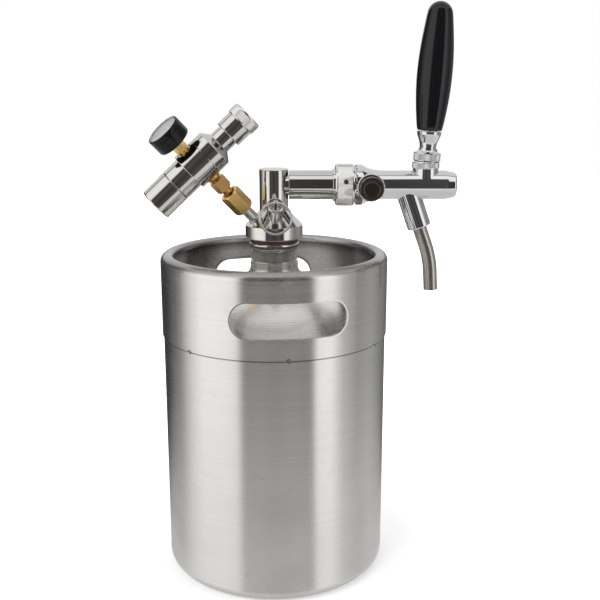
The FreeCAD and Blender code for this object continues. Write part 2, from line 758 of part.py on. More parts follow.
def tap_body():
    """Chromed body: rear spigot, toothed flange, barrel, knob boss, spout boss, lever boss."""
    barrel = turned([(0, SPIGOT_START), (SHOULDER_R, SPIGOT_START, 0.5), (SHOULDER_R, FLANGE_X),
                     (FLANGE_R, FLANGE_X, 0.5), (FLANGE_R, FLANGE_X + FLANGE_W, 2.2),
                     ((FLANGE_R + TAP_R) / 2 - 1, (FLANGE_X + FLANGE_W + TAPER_END) / 2, 14),
                     (TAP_R, TAPER_END + 2, 20), (TAP_R, TAP_NOSE_X, 12),
                     (TAP_END_R + 1.4, TAP_END, 2.2), (0, TAP_END)])
    for i in range(TOOTH_COUNT):
        notch = Part.makeBox(TOOTH_DEPTH + 1, TOOTH_W, TOOTH_RING_W + 1,
                             vec(FLANGE_R - TOOTH_DEPTH, -TOOTH_W / 2, FLANGE_X - 1))
        barrel = barrel.cut(spun(notch, (i + 0.5) * 360 / TOOTH_COUNT))
    barrel = along_arm(barrel)
    knob_boss = put(rounded_boss(KNOB_BOSS_R, KNOB_BOSS_Y), KNOB_FOOT, -Y)
    spout_boss = put(rounded_boss(SPOUT_BOSS_R, SPOUT_BOSS_LEN), SPOUT_FOOT, SPOUT_DIR)
    lever_boss = rod(BOSS_R, vec(LEVER_X, 0, ARM_Z), vec(LEVER_X, 0, BOSS_TOP))
    neck = Part.makeCone(TAP_R - 0.6, BONNET_R - 0.8, BONNET_BOTTOM - ARM_Z, vec(LEVER_X, 0, ARM_Z), Z)
    solid = fused(barrel, knob_boss, spout_boss, neck, lever_boss)
    bores = [
        along_arm(disc(REAR_BORE, SPIGOT_START - 1, SEAT_X)),
        along_arm(disc(SEAT_BORE, SEAT_X - 1, SEAT_X + SEAT_W + 1)),
        along_arm(disc(FRONT_BORE, SEAT_X + SEAT_W, BORE_END)),
        rod(SPINDLE_R + RUN_CLEAR, KNOB_FOOT, KNOB_FOOT - Y * (KNOB_BOSS_Y + 1)),
        rod(SPOUT_R - SPOUT_WALL, SPOUT_FOOT + SPOUT_DIR * 3, SPOUT_FOOT + SPOUT_DIR * SPOUT_BOSS_LEN),
        rod(SPOUT_R, SPOUT_FOOT + SPOUT_DIR * (SPOUT_BOSS_LEN - SPOUT_SOCKET),
            SPOUT_FOOT + SPOUT_DIR * (SPOUT_BOSS_LEN + 1)),
        rod(BALL_R + SOCKET_CLEAR, vec(LEVER_X, 0, PIVOT_Z - BALL_R - SOCKET_CLEAR),
            vec(LEVER_X, 0, BOSS_TOP)),
        rod(WASHER_R, vec(LEVER_X, 0, PIVOT_Z + WASHER_LOW), vec(LEVER_X, 0, BOSS_TOP + 1))]
    for bore in bores:
        solid = solid.cut(bore)
    return solid


save("shank_flange", shank_flange())
save("shank_seal", shank_seal())
save("collar_nut", collar_nut())
save("tap_body", tap_body())


# ---- lever: bonnet, ball and tongue, nut, ferrule and handle ----
PIVOT = vec(LEVER_X, 0, PIVOT_Z)
BONNET_BORE = BOSS_R + BONNET_FIT
BONNET_DOME_R = math.hypot(BONNET_R - 0.6, BONNET_TOP - PIVOT_Z)
NUT_HOLLOW_R = BONNET_DOME_R + DOME_GAP
STEM_SLOT_W = 2 * LEVER_STEM_R + 1.2
STEM_SLOT_BACK = 4.2        # room behind the stem in the bonnet's dome
FULL_LEAN = math.radians(LEVER_REST_TILT + LEVER_THROW)


def stem_reach(height):
    """How far forward the fully swung stem reaches at a height above the pivot."""
    return height * math.tan(FULL_LEAN) + LEVER_STEM_R / math.cos(FULL_LEAN) + 0.5


STEM_SLOT_FRONT = stem_reach(BONNET_DOME_R)
LEVER_LEAN = math.radians(LEVER_REST_TILT)
LEVER_UP = vec(math.sin(LEVER_LEAN), 0, math.cos(LEVER_LEAN))


def along_lever(shape):
    """Stand a shape drawn about Z, from the pivot, on the leaning lever."""
    return put(shape, PIVOT, LEVER_UP, vec(math.cos(LEVER_LEAN), 0, -math.sin(LEVER_LEAN)))


def bonnet_ring():
    """Ring screwed over the lever boss; its domed top holds the ball down."""
    low = BONNET_BOTTOM - PIVOT_Z
    high = BONNET_TOP - PIVOT_Z
    ring = turned([(0, low), (BONNET_R, low, 0.5), (BONNET_R, high), (BONNET_R, high + 6), (0, high + 6)])
    ring = ring.common(fused(disc(BONNET_R, low, high - 0.6), Part.makeSphere(BONNET_DOME_R)))
    ring = ring.cut(disc(BONNET_BORE, low - 1, BOSS_TOP - PIVOT_Z))
    ring = ring.cut(Part.makeSphere(BONNET_DOME_R - BONNET_WALL).common(
        disc(BONNET_BORE - 1.2, BOSS_TOP - PIVOT_Z - 1, high + 8)))
    length = STEM_SLOT_FRONT + STEM_SLOT_BACK
    corner_at = vec(-STEM_SLOT_BACK, -STEM_SLOT_W / 2, BOSS_TOP - PIVOT_Z - 1)
    inside = disc(BONNET_BORE - 1.2, BOSS_TOP - PIVOT_Z - 1, high + 8)
    ring = ring.cut(Part.makeBox(length, STEM_SLOT_W, 20, corner_at).common(inside))
    ring = ring.cut(Part.makeBox(length, STEM_SLOT_W, 20, vec(corner_at.x, corner_at.y, high - 0.4)))
    return put(ring, PIVOT, Z)


def friction_washer():
    """Plastic washer that keeps the ball down in its socket."""
    washer = disc(WASHER_R, WASHER_LOW, WASHER_HIGH).cut(Part.makeSphere(BALL_R + 0.08))
    mouth_low = (WASHER_LOW + WASHER_HIGH) / 2 - 0.6
    mouth = Part.makeCone(stem_reach(mouth_low), stem_reach(WASHER_HIGH), WASHER_HIGH - mouth_low,
                          vec(0, 0, mouth_low), Z)
    return put(washer.cut(mouth), PIVOT, Z)


def lever_nut():
    """Knurled ring and cone, hollowed as a sphere about the pivot."""
    low = math.sqrt(NUT_HOLLOW_R ** 2 - BONNET_R ** 2)
    nut = turned([(0, low), (BONNET_R, low), (BONNET_R, NUT_RING_TOP, 0.5),
                  (LEVER_CONE_R, LEVER_CONE_TOP), (0, LEVER_CONE_TOP)])
    nut = nut.cut(Part.makeSphere(NUT_HOLLOW_R))
    return along_lever(nut.cut(disc(LEVER_STEM_R, 0, LEVER_CONE_TOP + 1)))


def lever_stem():
    """Ball, upper stem and the tongue that pushes the shaft."""
    tongue = PIVOT_Z - ARM_Z
    stem = disc(LEVER_STEM_R, 0, FERRULE_TOP + 8)
    finger = disc(TONGUE_R, -tongue, 0)
    tip = Part.makeSphere(TONGUE_BALL_R, vec(0, 0, -tongue))
    return along_lever(fused(Part.makeSphere(BALL_R), stem, finger, tip))


def lever_ferrule():
    """Flared chrome foot of the handle."""
    waist = LEVER_CONE_TOP + FERRULE_WAIST
    body = turned([(0, LEVER_CONE_TOP), (FERRULE_R, LEVER_CONE_TOP), (FERRULE_R + 0.5, waist, 12),
                   (FERRULE_TOP_R, FERRULE_TOP - 2, 6), (FERRULE_TOP_R, FERRULE_TOP, 0.5), (0, FERRULE_TOP)])
    return along_lever(body.cut(disc(LEVER_STEM_R, 0, FERRULE_TOP + 1)))


def tap_handle():
    """Turned handle: narrow foot, full middle, domed tip."""
    foot = HANDLE_BOTTOM
    tip = foot + HANDLE_LEN
    seat_r = FERRULE_TOP_R - HANDLE_SEAT
    body = turned([(0, FERRULE_TOP), (seat_r, FERRULE_TOP), (seat_r, foot),
                   (HANDLE_FOOT_R, foot, 0.8), (HANDLE_MAX_R, foot + HANDLE_LEN * HANDLE_FULL_LOW, 120),
                   (HANDLE_MAX_R, foot + HANDLE_LEN * HANDLE_FULL_HIGH, 120),
                   (HANDLE_TIP_R, tip, HANDLE_TIP_R * 0.85), (0, tip)])
    return along_lever(body.cut(disc(LEVER_STEM_R, 0, FERRULE_TOP + 8)))


save("bonnet_ring", bonnet_ring())
save("friction_washer", friction_washer())
save("lever_nut", lever_nut())
save("lever_stem", lever_stem())
save("lever_ferrule", lever_ferrule())
save("tap_handle", tap_handle())


# ---- sliding shaft and seat seal ----
TONGUE_X = LEVER_X - (PIVOT_Z - ARM_Z) * math.sin(LEVER_LEAN)


def tap_shaft():
    """Rod through the seat, with a slotted yoke for the lever's tongue."""
    yoke_start = TONGUE_X - SHAFT_YOKE_LEN / 2
    seal_start = SEAT_X - SEAL_DISC_T
    rear = SHAFT_REAR
    backing, backing_r = seal_start - SEAT_BACKING_T, SEAL_DISC_R - 2
    shaft = turned([(0, rear), (SHAFT_R, rear), (SHAFT_R, backing), (backing_r, backing),
                    (backing_r, seal_start), (SHAFT_R, seal_start), (SHAFT_R, yoke_start),
                    (SHAFT_YOKE_R, yoke_start, 0.4), (SHAFT_YOKE_R, yoke_start + SHAFT_YOKE_LEN, 0.4),
                    (0, yoke_start + SHAFT_YOKE_LEN)])
    shaft = along_arm(shaft)
    half = TONGUE_BALL_R + SLOT_CLEAR
    slot = Part.makeBox(2 * half, 2 * half, 3 * SHAFT_YOKE_R,
                        vec(TONGUE_X - half, -half, ARM_Z - TONGUE_BALL_R - SLOT_CLEAR))
    flare = Part.makeBox(half + YOKE_FLARE, 2 * half, SHAFT_YOKE_R,
                         vec(TONGUE_X, -half, ARM_Z + TONGUE_BALL_R))
    return shaft.cut(slot).cut(flare)


def seat_seal():
    return along_arm(tube(SEAL_DISC_R, SHAFT_R, SEAT_X - SEAL_DISC_T, SEAT_X))


save("tap_shaft", tap_shaft())
save("seat_seal", seat_seal())


# ---- flow control: knob, spindle with its eccentric pin, sliding compensator ----


def toward_front(shape):
    """Lay a shape drawn about Z along -Y, from the tap's axis, its X staying upward."""
    return put(shape, KNOB_FOOT, -Y, Z)


def flow_knob():
    start = KNOB_BOSS_Y + KNOB_GAP
    end = start + KNOB_LEN
    knob = turned([(0, start), (KNOB_R - 0.6, start, 0.5), (KNOB_R, start + 1.6, 2), (KNOB_R, end, 1.6),
                   (KNOB_R - 2.2, end, 1.2), (KNOB_R - 3.0, end - 0.6, 0.8), (0, end - 0.6)])
    return toward_front(knob.cut(disc(SPINDLE_R, start - 1, start + 6)))


def flow_spindle():
    """Spindle through the boss with an eccentric pin in the compensator's slot."""
    inner = REAR_BORE - 0.6
    spindle = disc(SPINDLE_R, REAR_BORE + 0.4, KNOB_BOSS_Y + KNOB_GAP + 6)
    web = disc(PIN_OFFSET + PIN_R + 0.2, inner - 1.2, REAR_BORE - 0.9)
    neck = disc(SPINDLE_R - 0.4, inner - 1.2, REAR_BORE + 0.6)
    pin = disc(PIN_R, inner - 1.2 - PIN_LEN, inner)
    pin.translate(vec(PIN_OFFSET, 0, 0))
    keep = disc(SPINDLE_R, 0, KNOB_BOSS_Y + 20)
    return toward_front(fused(spindle, neck, fused(web, pin).common(fused(keep, pin))))


def compensator():
    """Cone that narrows the flow; a cross slot takes the spindle's pin."""
    start = KNOB_X - 4.0
    cone = turned([(0, start), (COMP_R - 0.4, start, 0.4), (COMP_R - 0.4, start + 5),
                   (COMP_NOSE_R, start + COMP_LEN, 0.5), (0, start + COMP_LEN)])
    cone = along_arm(cone)
    half = PIN_R + COMP_SLOT_CLEAR
    slot = Part.makeBox(2 * half, COMP_R, 3 * COMP_R,
                        vec(KNOB_X - half, -REAR_BORE, ARM_Z - 1.5 * COMP_R))
    relief = rod(SPINDLE_R + 1.0, vec(KNOB_X, 0, KNOB_Z) - Y * 3.6, vec(KNOB_X, 0, KNOB_Z) - Y * 9)
    room = Part.makeBox(2 * (SPINDLE_R + 0.5 + PIN_OFFSET), 6, 3 * COMP_R,
                        vec(KNOB_X - SPINDLE_R - 0.5 - PIN_OFFSET, -REAR_BORE - 1.8, ARM_Z - 1.5 * COMP_R))
    return cone.cut(slot).cut(relief).cut(room)


save("flow_knob", flow_knob())
save("flow_spindle", flow_spindle())
save("compensator", compensator())


# ---- spout ----
def spout_tube():
    """Steel tube that leaves the boss at a slant and bends down."""
    start = SPOUT_FOOT + SPOUT_DIR * (SPOUT_BOSS_LEN - SPOUT_SOCKET)
    knee = SPOUT_DIR * (SPOUT_SOCKET + SPOUT_STRAIGHT)
    tilt_in = math.radians(SPOUT_TILT)
    tilt_out = math.radians(SPOUT_END_TILT)
    side = vec(-math.cos(tilt_in), 0, -math.sin(tilt_in))
    centre = start + knee + side * SPOUT_BEND_R

    def on_bend(tilt):
        return centre + vec(math.cos(tilt), 0, math.sin(tilt)) * SPOUT_BEND_R

    bend_end = on_bend(tilt_out)
    tip = bend_end + vec(math.sin(tilt_out), 0, -math.cos(tilt_out)) * SPOUT_TAIL
    line = Part.Wire([Part.LineSegment(start, start + knee).toShape(),
                      Part.Arc(start + knee, on_bend((tilt_in + tilt_out) / 2), bend_end).toShape(),
                      Part.LineSegment(bend_end, tip).toShape()])
    outer = line.makePipeShell([Part.Wire(Part.makeCircle(SPOUT_R, start, SPOUT_DIR))], True, False)
    bore = Part.makeCircle(SPOUT_R - SPOUT_WALL, start, SPOUT_DIR)
    inner = line.makePipeShell([Part.Wire(bore)], True, False)
    return outer.cut(inner)


save("spout_tube", spout_tube())


# ---- gas line from the head to the regulator ----
NUT_START = STUB_LEN
NUT_END = NUT_START + SWIVEL_LEN
HEAD_START = NUT_START + SWIVEL_LIP + RUN_CLEAR
HEAD_END = HEAD_START + STUB_HEAD_H
HEX_START = NUT_END + NIPPLE_GAP
HEX_END = HEX_START + NIPPLE_HEX
OUTLET_FACE = HEX_END + NIPPLE_COLLAR
REG_DISTANCE = OUTLET_FACE + REG_FLAT
NIPPLE_THREAD_R = STUB_HEAD_R


def on_gas_line(shape):
    """Stand a shape drawn about Z on the gas port."""
    return put(shape, GAS_FOOT, GAS_DIR, unit(REG_AXIS))


def gas_stub():
    """Welded outlet of the head with a flared head inside the swivel nut."""
    return on_gas_line(turned([
        (STUB_BORE, -SPOTFACE), (STUB_FOOT_R, -SPOTFACE), (STUB_FOOT_R, STUB_FOOT_H - SPOTFACE, 0.4),
        (STUB_R, STUB_FOOT_H - SPOTFACE), (STUB_R, HEAD_START), (STUB_HEAD_R - 0.1, HEAD_START),
        (STUB_HEAD_R - 0.1, HEAD_END), (STUB_BORE, HEAD_END)]))


def check_valve():
    """Duckbill that keeps beer out of the gas line, seated in the stub."""
    start = -SPOTFACE
    return on_gas_line(turned([(BILL_BORE, start), (STUB_BORE, start), (STUB_BORE, start + BILL_SEAT),
                               (BILL_TIP_R, start + BILL_LEN), (BILL_BORE, start + BILL_LEN)]))


def swivel_nut():
    nut = prism(SWIVEL_AF, NUT_START, NUT_END, 1.2)
    nut = nut.cut(disc(STUB_R + NUT_CLEAR, NUT_START - 1, NUT_END))
    return on_gas_line(nut.cut(disc(NIPPLE_THREAD_R, HEAD_START - RUN_CLEAR, NUT_END + 1)))


def nipple():
    """Brass nipple: male end in the nut, waist, hexagon, collar, spigot in the regulator."""
    pipe = turned([(STUB_BORE, HEAD_END), (NIPPLE_THREAD_R, HEAD_END), (NIPPLE_THREAD_R, NUT_END - 2),
                   (NIPPLE_R, NUT_END - 1), (NIPPLE_R, HEX_START + 1), (STUB_BORE, HEX_START + 1)])
    bar = prism(NIPPLE_AF, HEX_START, HEX_END, 1.0).cut(disc(STUB_BORE, HEX_START - 1, HEX_END + 1))
    waist = HEX_END + NIPPLE_COLLAR * 0.45
    collar = turned([(STUB_BORE, HEX_END - 1), (NIPPLE_R, HEX_END - 1), (NIPPLE_R, HEX_END + 0.8),
                     (NIPPLE_AF / 2, waist, 0.5), (NIPPLE_AF / 2, OUTLET_FACE),
                     (NIPPLE_SPIGOT_R, OUTLET_FACE), (NIPPLE_SPIGOT_R, OUTLET_FACE + NIPPLE_SPIGOT),
                     (STUB_BORE, OUTLET_FACE + NIPPLE_SPIGOT)])
    return on_gas_line(fused(pipe, bar, collar))


save("gas_stub", gas_stub())
save("check_valve", check_valve())
save("swivel_nut", swivel_nut())
save("nipple", nipple())


# ---- regulator, drawn about Z; X points to the gauge ----
REG_E = unit(REG_AXIS)
REG_E = (REG_E - GAS_DIR * REG_E.dot(GAS_DIR)).normalize()
REG_CENTRE = GAS_FOOT + GAS_DIR * REG_DISTANCE
PISTON_ROOM_TOP = 2.0
INLET_ROOM_R = 6.0
INLET_START = REG_SHOULDER - INLET_SPIGOT
CAVITY_R = SKIRT_R - SKIRT_WALL
SKIRT_END = BONNET_REG_LOW - SKIRT_LEN
PLATE_LOW = SCREW_END


def on_regulator(shape):
    return put(shape, REG_CENTRE, REG_E, GAS_DIR)


def regulator_body():
    """Turned body with a fine ring groove and spot faces for the gauge and outlet."""
    body = turned([(0, REG_LOW), (REG_R, REG_LOW, 0.5), (REG_R, REG_GROOVE - 0.25), (REG_R - 0.3, REG_GROOVE),
                   (REG_R, REG_GROOVE + 0.25), (REG_R, REG_HIGH, 0.6), (INLET_NECK_R, REG_SHOULDER),
                   (0, REG_SHOULDER)])
    for side, height in ((1, GAUGE_OFFSET), (-1, 0)):
        at = vec(side * REG_FLAT, 0, height)
        body = body.cut(rod(REG_FLAT_LEN / 2, at, at + X * (side * 5)))
    body = body.cut(disc(PISTON_R + RUN_CLEAR, REG_LOW - 1, PISTON_ROOM_TOP))
    body = body.cut(disc(VALVE_PIN_R + 0.2, 0, REG_SHOULDER))
    body = body.cut(disc(INLET_ROOM_R, INLET_START, REG_SHOULDER + 1))
    body = body.cut(rod(NIPPLE_SPIGOT_R, vec(-REG_FLAT - 1, 0, 0), vec(NIPPLE_SPIGOT - REG_FLAT, 0, 0)))
    body = body.cut(rod(STUB_BORE, vec(-REG_FLAT, 0, 0), vec(0, 0, 0)))
    face, port_end = vec(REG_FLAT + 1, 0, GAUGE_OFFSET), vec(REG_FLAT - GAUGE_PORT_DEPTH, 0, GAUGE_OFFSET)
    body = body.cut(rod(GAUGE_STEM_R, face, port_end))
    return on_regulator(body.cut(rod(GAUGE_GAS_R, port_end, vec(0, 0, GAUGE_OFFSET))))


def regulator_bonnet():
    """Spring housing; its narrow skirt runs inside the knob."""
    low_wall = SKIRT_END + 2.5
    housing = turned([(CAVITY_R, REG_LOW), (BONNET_REG_R, REG_LOW), (BONNET_REG_R, BONNET_REG_LOW, 0.3),
                      (SKIRT_R, BONNET_REG_LOW), (SKIRT_R, SKIRT_END), (SCREW_R + RUN_CLEAR, SKIRT_END),
                      (SCREW_R + RUN_CLEAR, low_wall), (CAVITY_R, low_wall)])
    return on_regulator(housing)


def regulator_knob():
    """Cup-shaped knob on the adjusting screw."""
    high = BONNET_REG_LOW - REG_KNOB_GAP
    floor = REG_KNOB_LOW + REG_KNOB_WALL
    cup = turned([(0, REG_KNOB_LOW), (BONNET_REG_R, REG_KNOB_LOW, REG_KNOB_ROUND), (BONNET_REG_R, high, 0.3),
                  (SKIRT_R + 0.4, high), (SKIRT_R + 0.4, floor), (0, floor)])
    return on_regulator(cup.cut(disc(SCREW_R, REG_KNOB_LOW + 1, floor + 1)))


def adjusting_screw():
    return on_regulator(disc(SCREW_R, REG_KNOB_LOW + 1, PLATE_LOW))


def spring_plate():
    return on_regulator(disc(PLATE_R, PLATE_LOW, PLATE_LOW + PLATE_T))


def set_spring():
    return on_regulator(coil(SPRING_R, SPRING_WIRE, SPRING_TURNS, PLATE_LOW + PLATE_T, PISTON_FACE))


def piston():
    """Disc on the spring, with a groove for its O-ring."""
    middle = PISTON_FACE + PISTON_T / 2
    groove = tube(PISTON_R + 1, PISTON_R - 2 * PISTON_SEAL_R, middle - PISTON_SEAL_R - 0.1,
                  middle + PISTON_SEAL_R + 0.1)
    return on_regulator(disc(PISTON_R, PISTON_FACE, PISTON_FACE + PISTON_T).cut(groove))


def piston_seal():
    middle = PISTON_FACE + PISTON_T / 2
    return on_regulator(Part.makeTorus(PISTON_R - PISTON_SEAL_R, PISTON_SEAL_R, vec(0, 0, middle)))


def valve_pin():
    """Poppet pin between the piston and the inlet."""
    low = PISTON_FACE + PISTON_T
    return on_regulator(disc(VALVE_PIN_R, low, INLET_START))


def inlet_neck():
    """Neck screwed into the body, with the gas bore."""
    low = INLET_START
    neck = turned([(VALVE_PIN_R, low), (INLET_ROOM_R, low), (INLET_ROOM_R, REG_SHOULDER),
                   (INLET_NECK_R, REG_SHOULDER), (INLET_NECK_R, INLET_NECK_TOP),
                   (VALVE_PIN_R, INLET_NECK_TOP)])
    return on_regulator(neck)


SOCKET_FLOOR = INLET_TOP - CARTRIDGE_DEPTH
GRIP_BORE = INLET_RING_R - 1.5


def cartridge_socket():
    """Threaded socket that the gas cartridge screws into."""
    mouth = INLET_TOP - SOCKET_MOUTH_DEPTH
    body = turned([(PIERCE_R, INLET_NECK_TOP), (INLET_RING_R, INLET_NECK_TOP, 0.7),
                   (INLET_RING_R, INLET_RING_TOP), (GRIP_BORE, INLET_RING_TOP),
                   (GRIP_BORE, INLET_TOP), (SOCKET_MOUTH_R, INLET_TOP), (SOCKET_MOUTH_R, mouth),
                   (CARTRIDGE_R, mouth), (CARTRIDGE_R, mouth - THREAD_LEN),
                   (THREAD_RELIEF_R, mouth - THREAD_LEN), (THREAD_RELIEF_R, SOCKET_FLOOR),
                   (PIERCE_R, SOCKET_FLOOR)])
    return on_regulator(body)


def inlet_grip():
    """Knurled grip ring pressed over the socket."""
    ring = turned([(GRIP_BORE, INLET_RING_TOP), (INLET_END_R, INLET_RING_TOP, 0.5),
                   (INLET_END_R, INLET_TOP, 0.9), (GRIP_BORE, INLET_TOP)])
    return on_regulator(ring)


def piercing_pin():
    """Hollow-ground pin that opens the cartridge."""
    low = SOCKET_FLOOR - 4
    tip = SOCKET_FLOOR + PIERCE_LEN
    return on_regulator(turned([(0, low), (PIERCE_R, low), (PIERCE_R, tip - 2), (0, tip)]))


def cartridge_seal():
    return on_regulator(tube(CARTRIDGE_R - 0.2, PIERCE_R + 0.6, SOCKET_FLOOR, SOCKET_FLOOR + 1.2))


for make in (regulator_body, regulator_bonnet, regulator_knob, adjusting_screw, spring_plate, set_spring,
             piston, piston_seal, valve_pin, inlet_neck, cartridge_socket, inlet_grip, piercing_pin,
             cartridge_seal):
    save(make.__name__, make())


# ---- gauge, drawn about Z on the gas line's axis beyond the regulator ----
GAUGE_ROOT = REG_CENTRE + REG_E * GAUGE_OFFSET
GAUGE_FRONT = GAUGE_BACK + GAUGE_DEPTH
LENS_BACK = GAUGE_FRONT - LENS_T
DIAL_FACE = LENS_BACK - DIAL_DEPTH
GLASS_R = GAUGE_R - GAUGE_WALL


def on_gauge(shape):
    return put(shape, GAUGE_ROOT, GAS_DIR, REG_E)


def gauge_stem():
    """Brass stem with a hexagon, from the regulator into the case."""
    low = REG_FLAT
    spigot = disc(GAUGE_STEM_R, low - 3.5, low + 0.5)
    collar = disc(GAUGE_STEM_AF / 2, low, low + 1.6)
    waist = disc(GAUGE_STEM_R + 0.3, low + 1, low + 3)
    bar = prism(GAUGE_STEM_AF, low + 2.6, GAUGE_BACK - 1.2, 0.6)
    top = disc(GAUGE_STEM_R, low + 3, GAUGE_BACK + GAUGE_WALL + 2)
    return on_gauge(fused(spigot, collar, waist, bar, top).cut(disc(1.0, low - 4, GAUGE_BACK)))


def gauge_case():
    """Pressed cup that holds dial and lens."""
    case = turned([(GAUGE_STEM_R, GAUGE_BACK), (GAUGE_R, GAUGE_BACK, 1.6), (GAUGE_R, GAUGE_FRONT, 0.5),
                   (GLASS_R, GAUGE_FRONT), (GLASS_R, LENS_BACK), (GLASS_R - 0.6, LENS_BACK),
                   (GLASS_R - 0.6, GAUGE_BACK + GAUGE_WALL, 1.0), (GAUGE_STEM_R, GAUGE_BACK + GAUGE_WALL)])
    return on_gauge(case)


def gauge_tube():
    """Bourdon tube: a C around the stem's end."""
    low = GAUGE_BACK + GAUGE_WALL + TUBE_T * 2 / 3
    high = low + TUBE_T
    middle = (TUBE_OUTER_R + TUBE_INNER_R) / 2
    loop = tube(TUBE_OUTER_R, TUBE_INNER_R, low, high)
    gap = Part.makeBox(GAUGE_R, GAUGE_R, GAUGE_DEPTH, vec(0, 0, GAUGE_BACK))
    strap = tube(middle, GAUGE_STEM_R, low, high)
    side = vec(-GAUGE_R, -TUBE_STRAP_W / 2, GAUGE_BACK)
    strap = strap.common(Part.makeBox(GAUGE_R, TUBE_STRAP_W, GAUGE_DEPTH, side))
    return on_gauge(fused(loop.cut(gap), strap))


def gauge_dial():
    return on_gauge(tube(GLASS_R - 0.6, 0.8, DIAL_FACE - DIAL_T, DIAL_FACE))


def gauge_lens():
    """Slightly crowned clear lens, flush with the rim."""
    return on_gauge(disc(GLASS_R, LENS_BACK, GAUGE_FRONT))


def gauge_needle():
    """Pointer on its arbor, resting at zero."""
    low = DIAL_FACE + NEEDLE_GAP
    arbor = disc(ARBOR_R, DIAL_FACE - 2.2, low)
    hub = disc(NEEDLE_HUB_R, low, low + NEEDLE_T)
    blade = Part.Face(Part.makePolygon([
        vec(-NEEDLE_TAIL, -NEEDLE_W / 2, low), vec(NEEDLE_LEN, -NEEDLE_TIP_W / 2, low),
        vec(NEEDLE_LEN, NEEDLE_TIP_W / 2, low), vec(-NEEDLE_TAIL, NEEDLE_W / 2, low),
        vec(-NEEDLE_TAIL, -NEEDLE_W / 2, low)])).extrude(Z * NEEDLE_T)
    return on_gauge(spun(fused(arbor, hub, blade), NEEDLE_REST))


for make in (gauge_stem, gauge_case, gauge_tube, gauge_dial, gauge_lens, gauge_needle):
    save(make.__name__, make())


# ---- relief valve with its pull ring ----
RELIEF_SIDE = RELIEF_DIR.cross(Z).normalize()
CAP_START = RELIEF_LEN - RELIEF_CAP_H
RELIEF_SEAT = 1.5
SEAL_TOP = RELIEF_SEAT + RELIEF_SEAL_T
FLANGE_TOP = SEAL_TOP + RELIEF_FLANGE_T
RELIEF_CROSS = RELIEF_LEN + RELIEF_STEM_OUT - RELIEF_HOLE_DROP


def on_relief(shape):
    return put(shape, RELIEF_FOOT, RELIEF_DIR, RELIEF_SIDE)


def relief_body():
    """Tube on the head with the valve seat at its foot."""
    return on_relief(turned([
        (RELIEF_SEAT_BORE, -SPOTFACE), (RELIEF_R, -SPOTFACE), (RELIEF_R, CAP_START), (RELIEF_BORE, CAP_START),
        (RELIEF_BORE, RELIEF_SEAT), (RELIEF_SEAT_BORE, RELIEF_SEAT)]))


def relief_cap():
    """Cap that guides the stem, with vent holes round its side."""
    bore = RELIEF_STEM_R + RUN_CLEAR
    cap = turned([(bore, CAP_START), (RELIEF_CAP_R, CAP_START, 0.4), (RELIEF_CAP_R, RELIEF_LEN, 0.9),
                  (bore, RELIEF_LEN)])
    cap = cap.cut(tube(RELIEF_BORE, bore - 0.5, CAP_START - 1, CAP_START + 2))
    for turn in (45, 135, 225, 315):
        height = CAP_START + VENT_RISE
        vent = rod(VENT_R, vec(RELIEF_BORE - 1, 0, height), vec(RELIEF_CAP_R + 1, 0, height))
        cap = cap.cut(spun(vent, turn))
    return on_relief(cap)


def relief_stem():
    """Pulled outwards against the spring; its cross hole holds the ring."""
    top = RELIEF_LEN + RELIEF_STEM_OUT
    stem = turned([(0, SEAL_TOP), (RELIEF_BORE - 0.3, SEAL_TOP), (RELIEF_BORE - 0.3, FLANGE_TOP),
                   (RELIEF_STEM_R, FLANGE_TOP), (RELIEF_STEM_R, top, 1.2), (0, top)])
    reach = 2 * RELIEF_STEM_R
    hole = rod(RELIEF_HOLE_R, vec(-reach, 0, RELIEF_CROSS), vec(reach, 0, RELIEF_CROSS))
    return on_relief(stem.cut(hole))


def relief_seal():
    return on_relief(disc(RELIEF_SEAL_R, RELIEF_SEAT, SEAL_TOP))


def relief_spring():
    radius = RELIEF_STEM_R + RELIEF_COIL_GAP + RELIEF_WIRE
    return on_relief(coil(radius, RELIEF_WIRE, RELIEF_COILS, FLANGE_TOP, CAP_START + 2))


def pull_ring():
    """Split-ring style loop hanging from the stem."""
    hole = RELIEF_FOOT + RELIEF_DIR * RELIEF_CROSS
    return Part.makeTorus(PULL_RING_R, PULL_WIRE_R, hole - Z * PULL_RING_R, RELIEF_SIDE.cross(Z))


for make in (relief_body, relief_cap, relief_stem, relief_seal, relief_spring, pull_ring):
    save(make.__name__, make())
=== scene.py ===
import json
import math

import bmesh
import bpy
from mathutils import Matrix, Vector


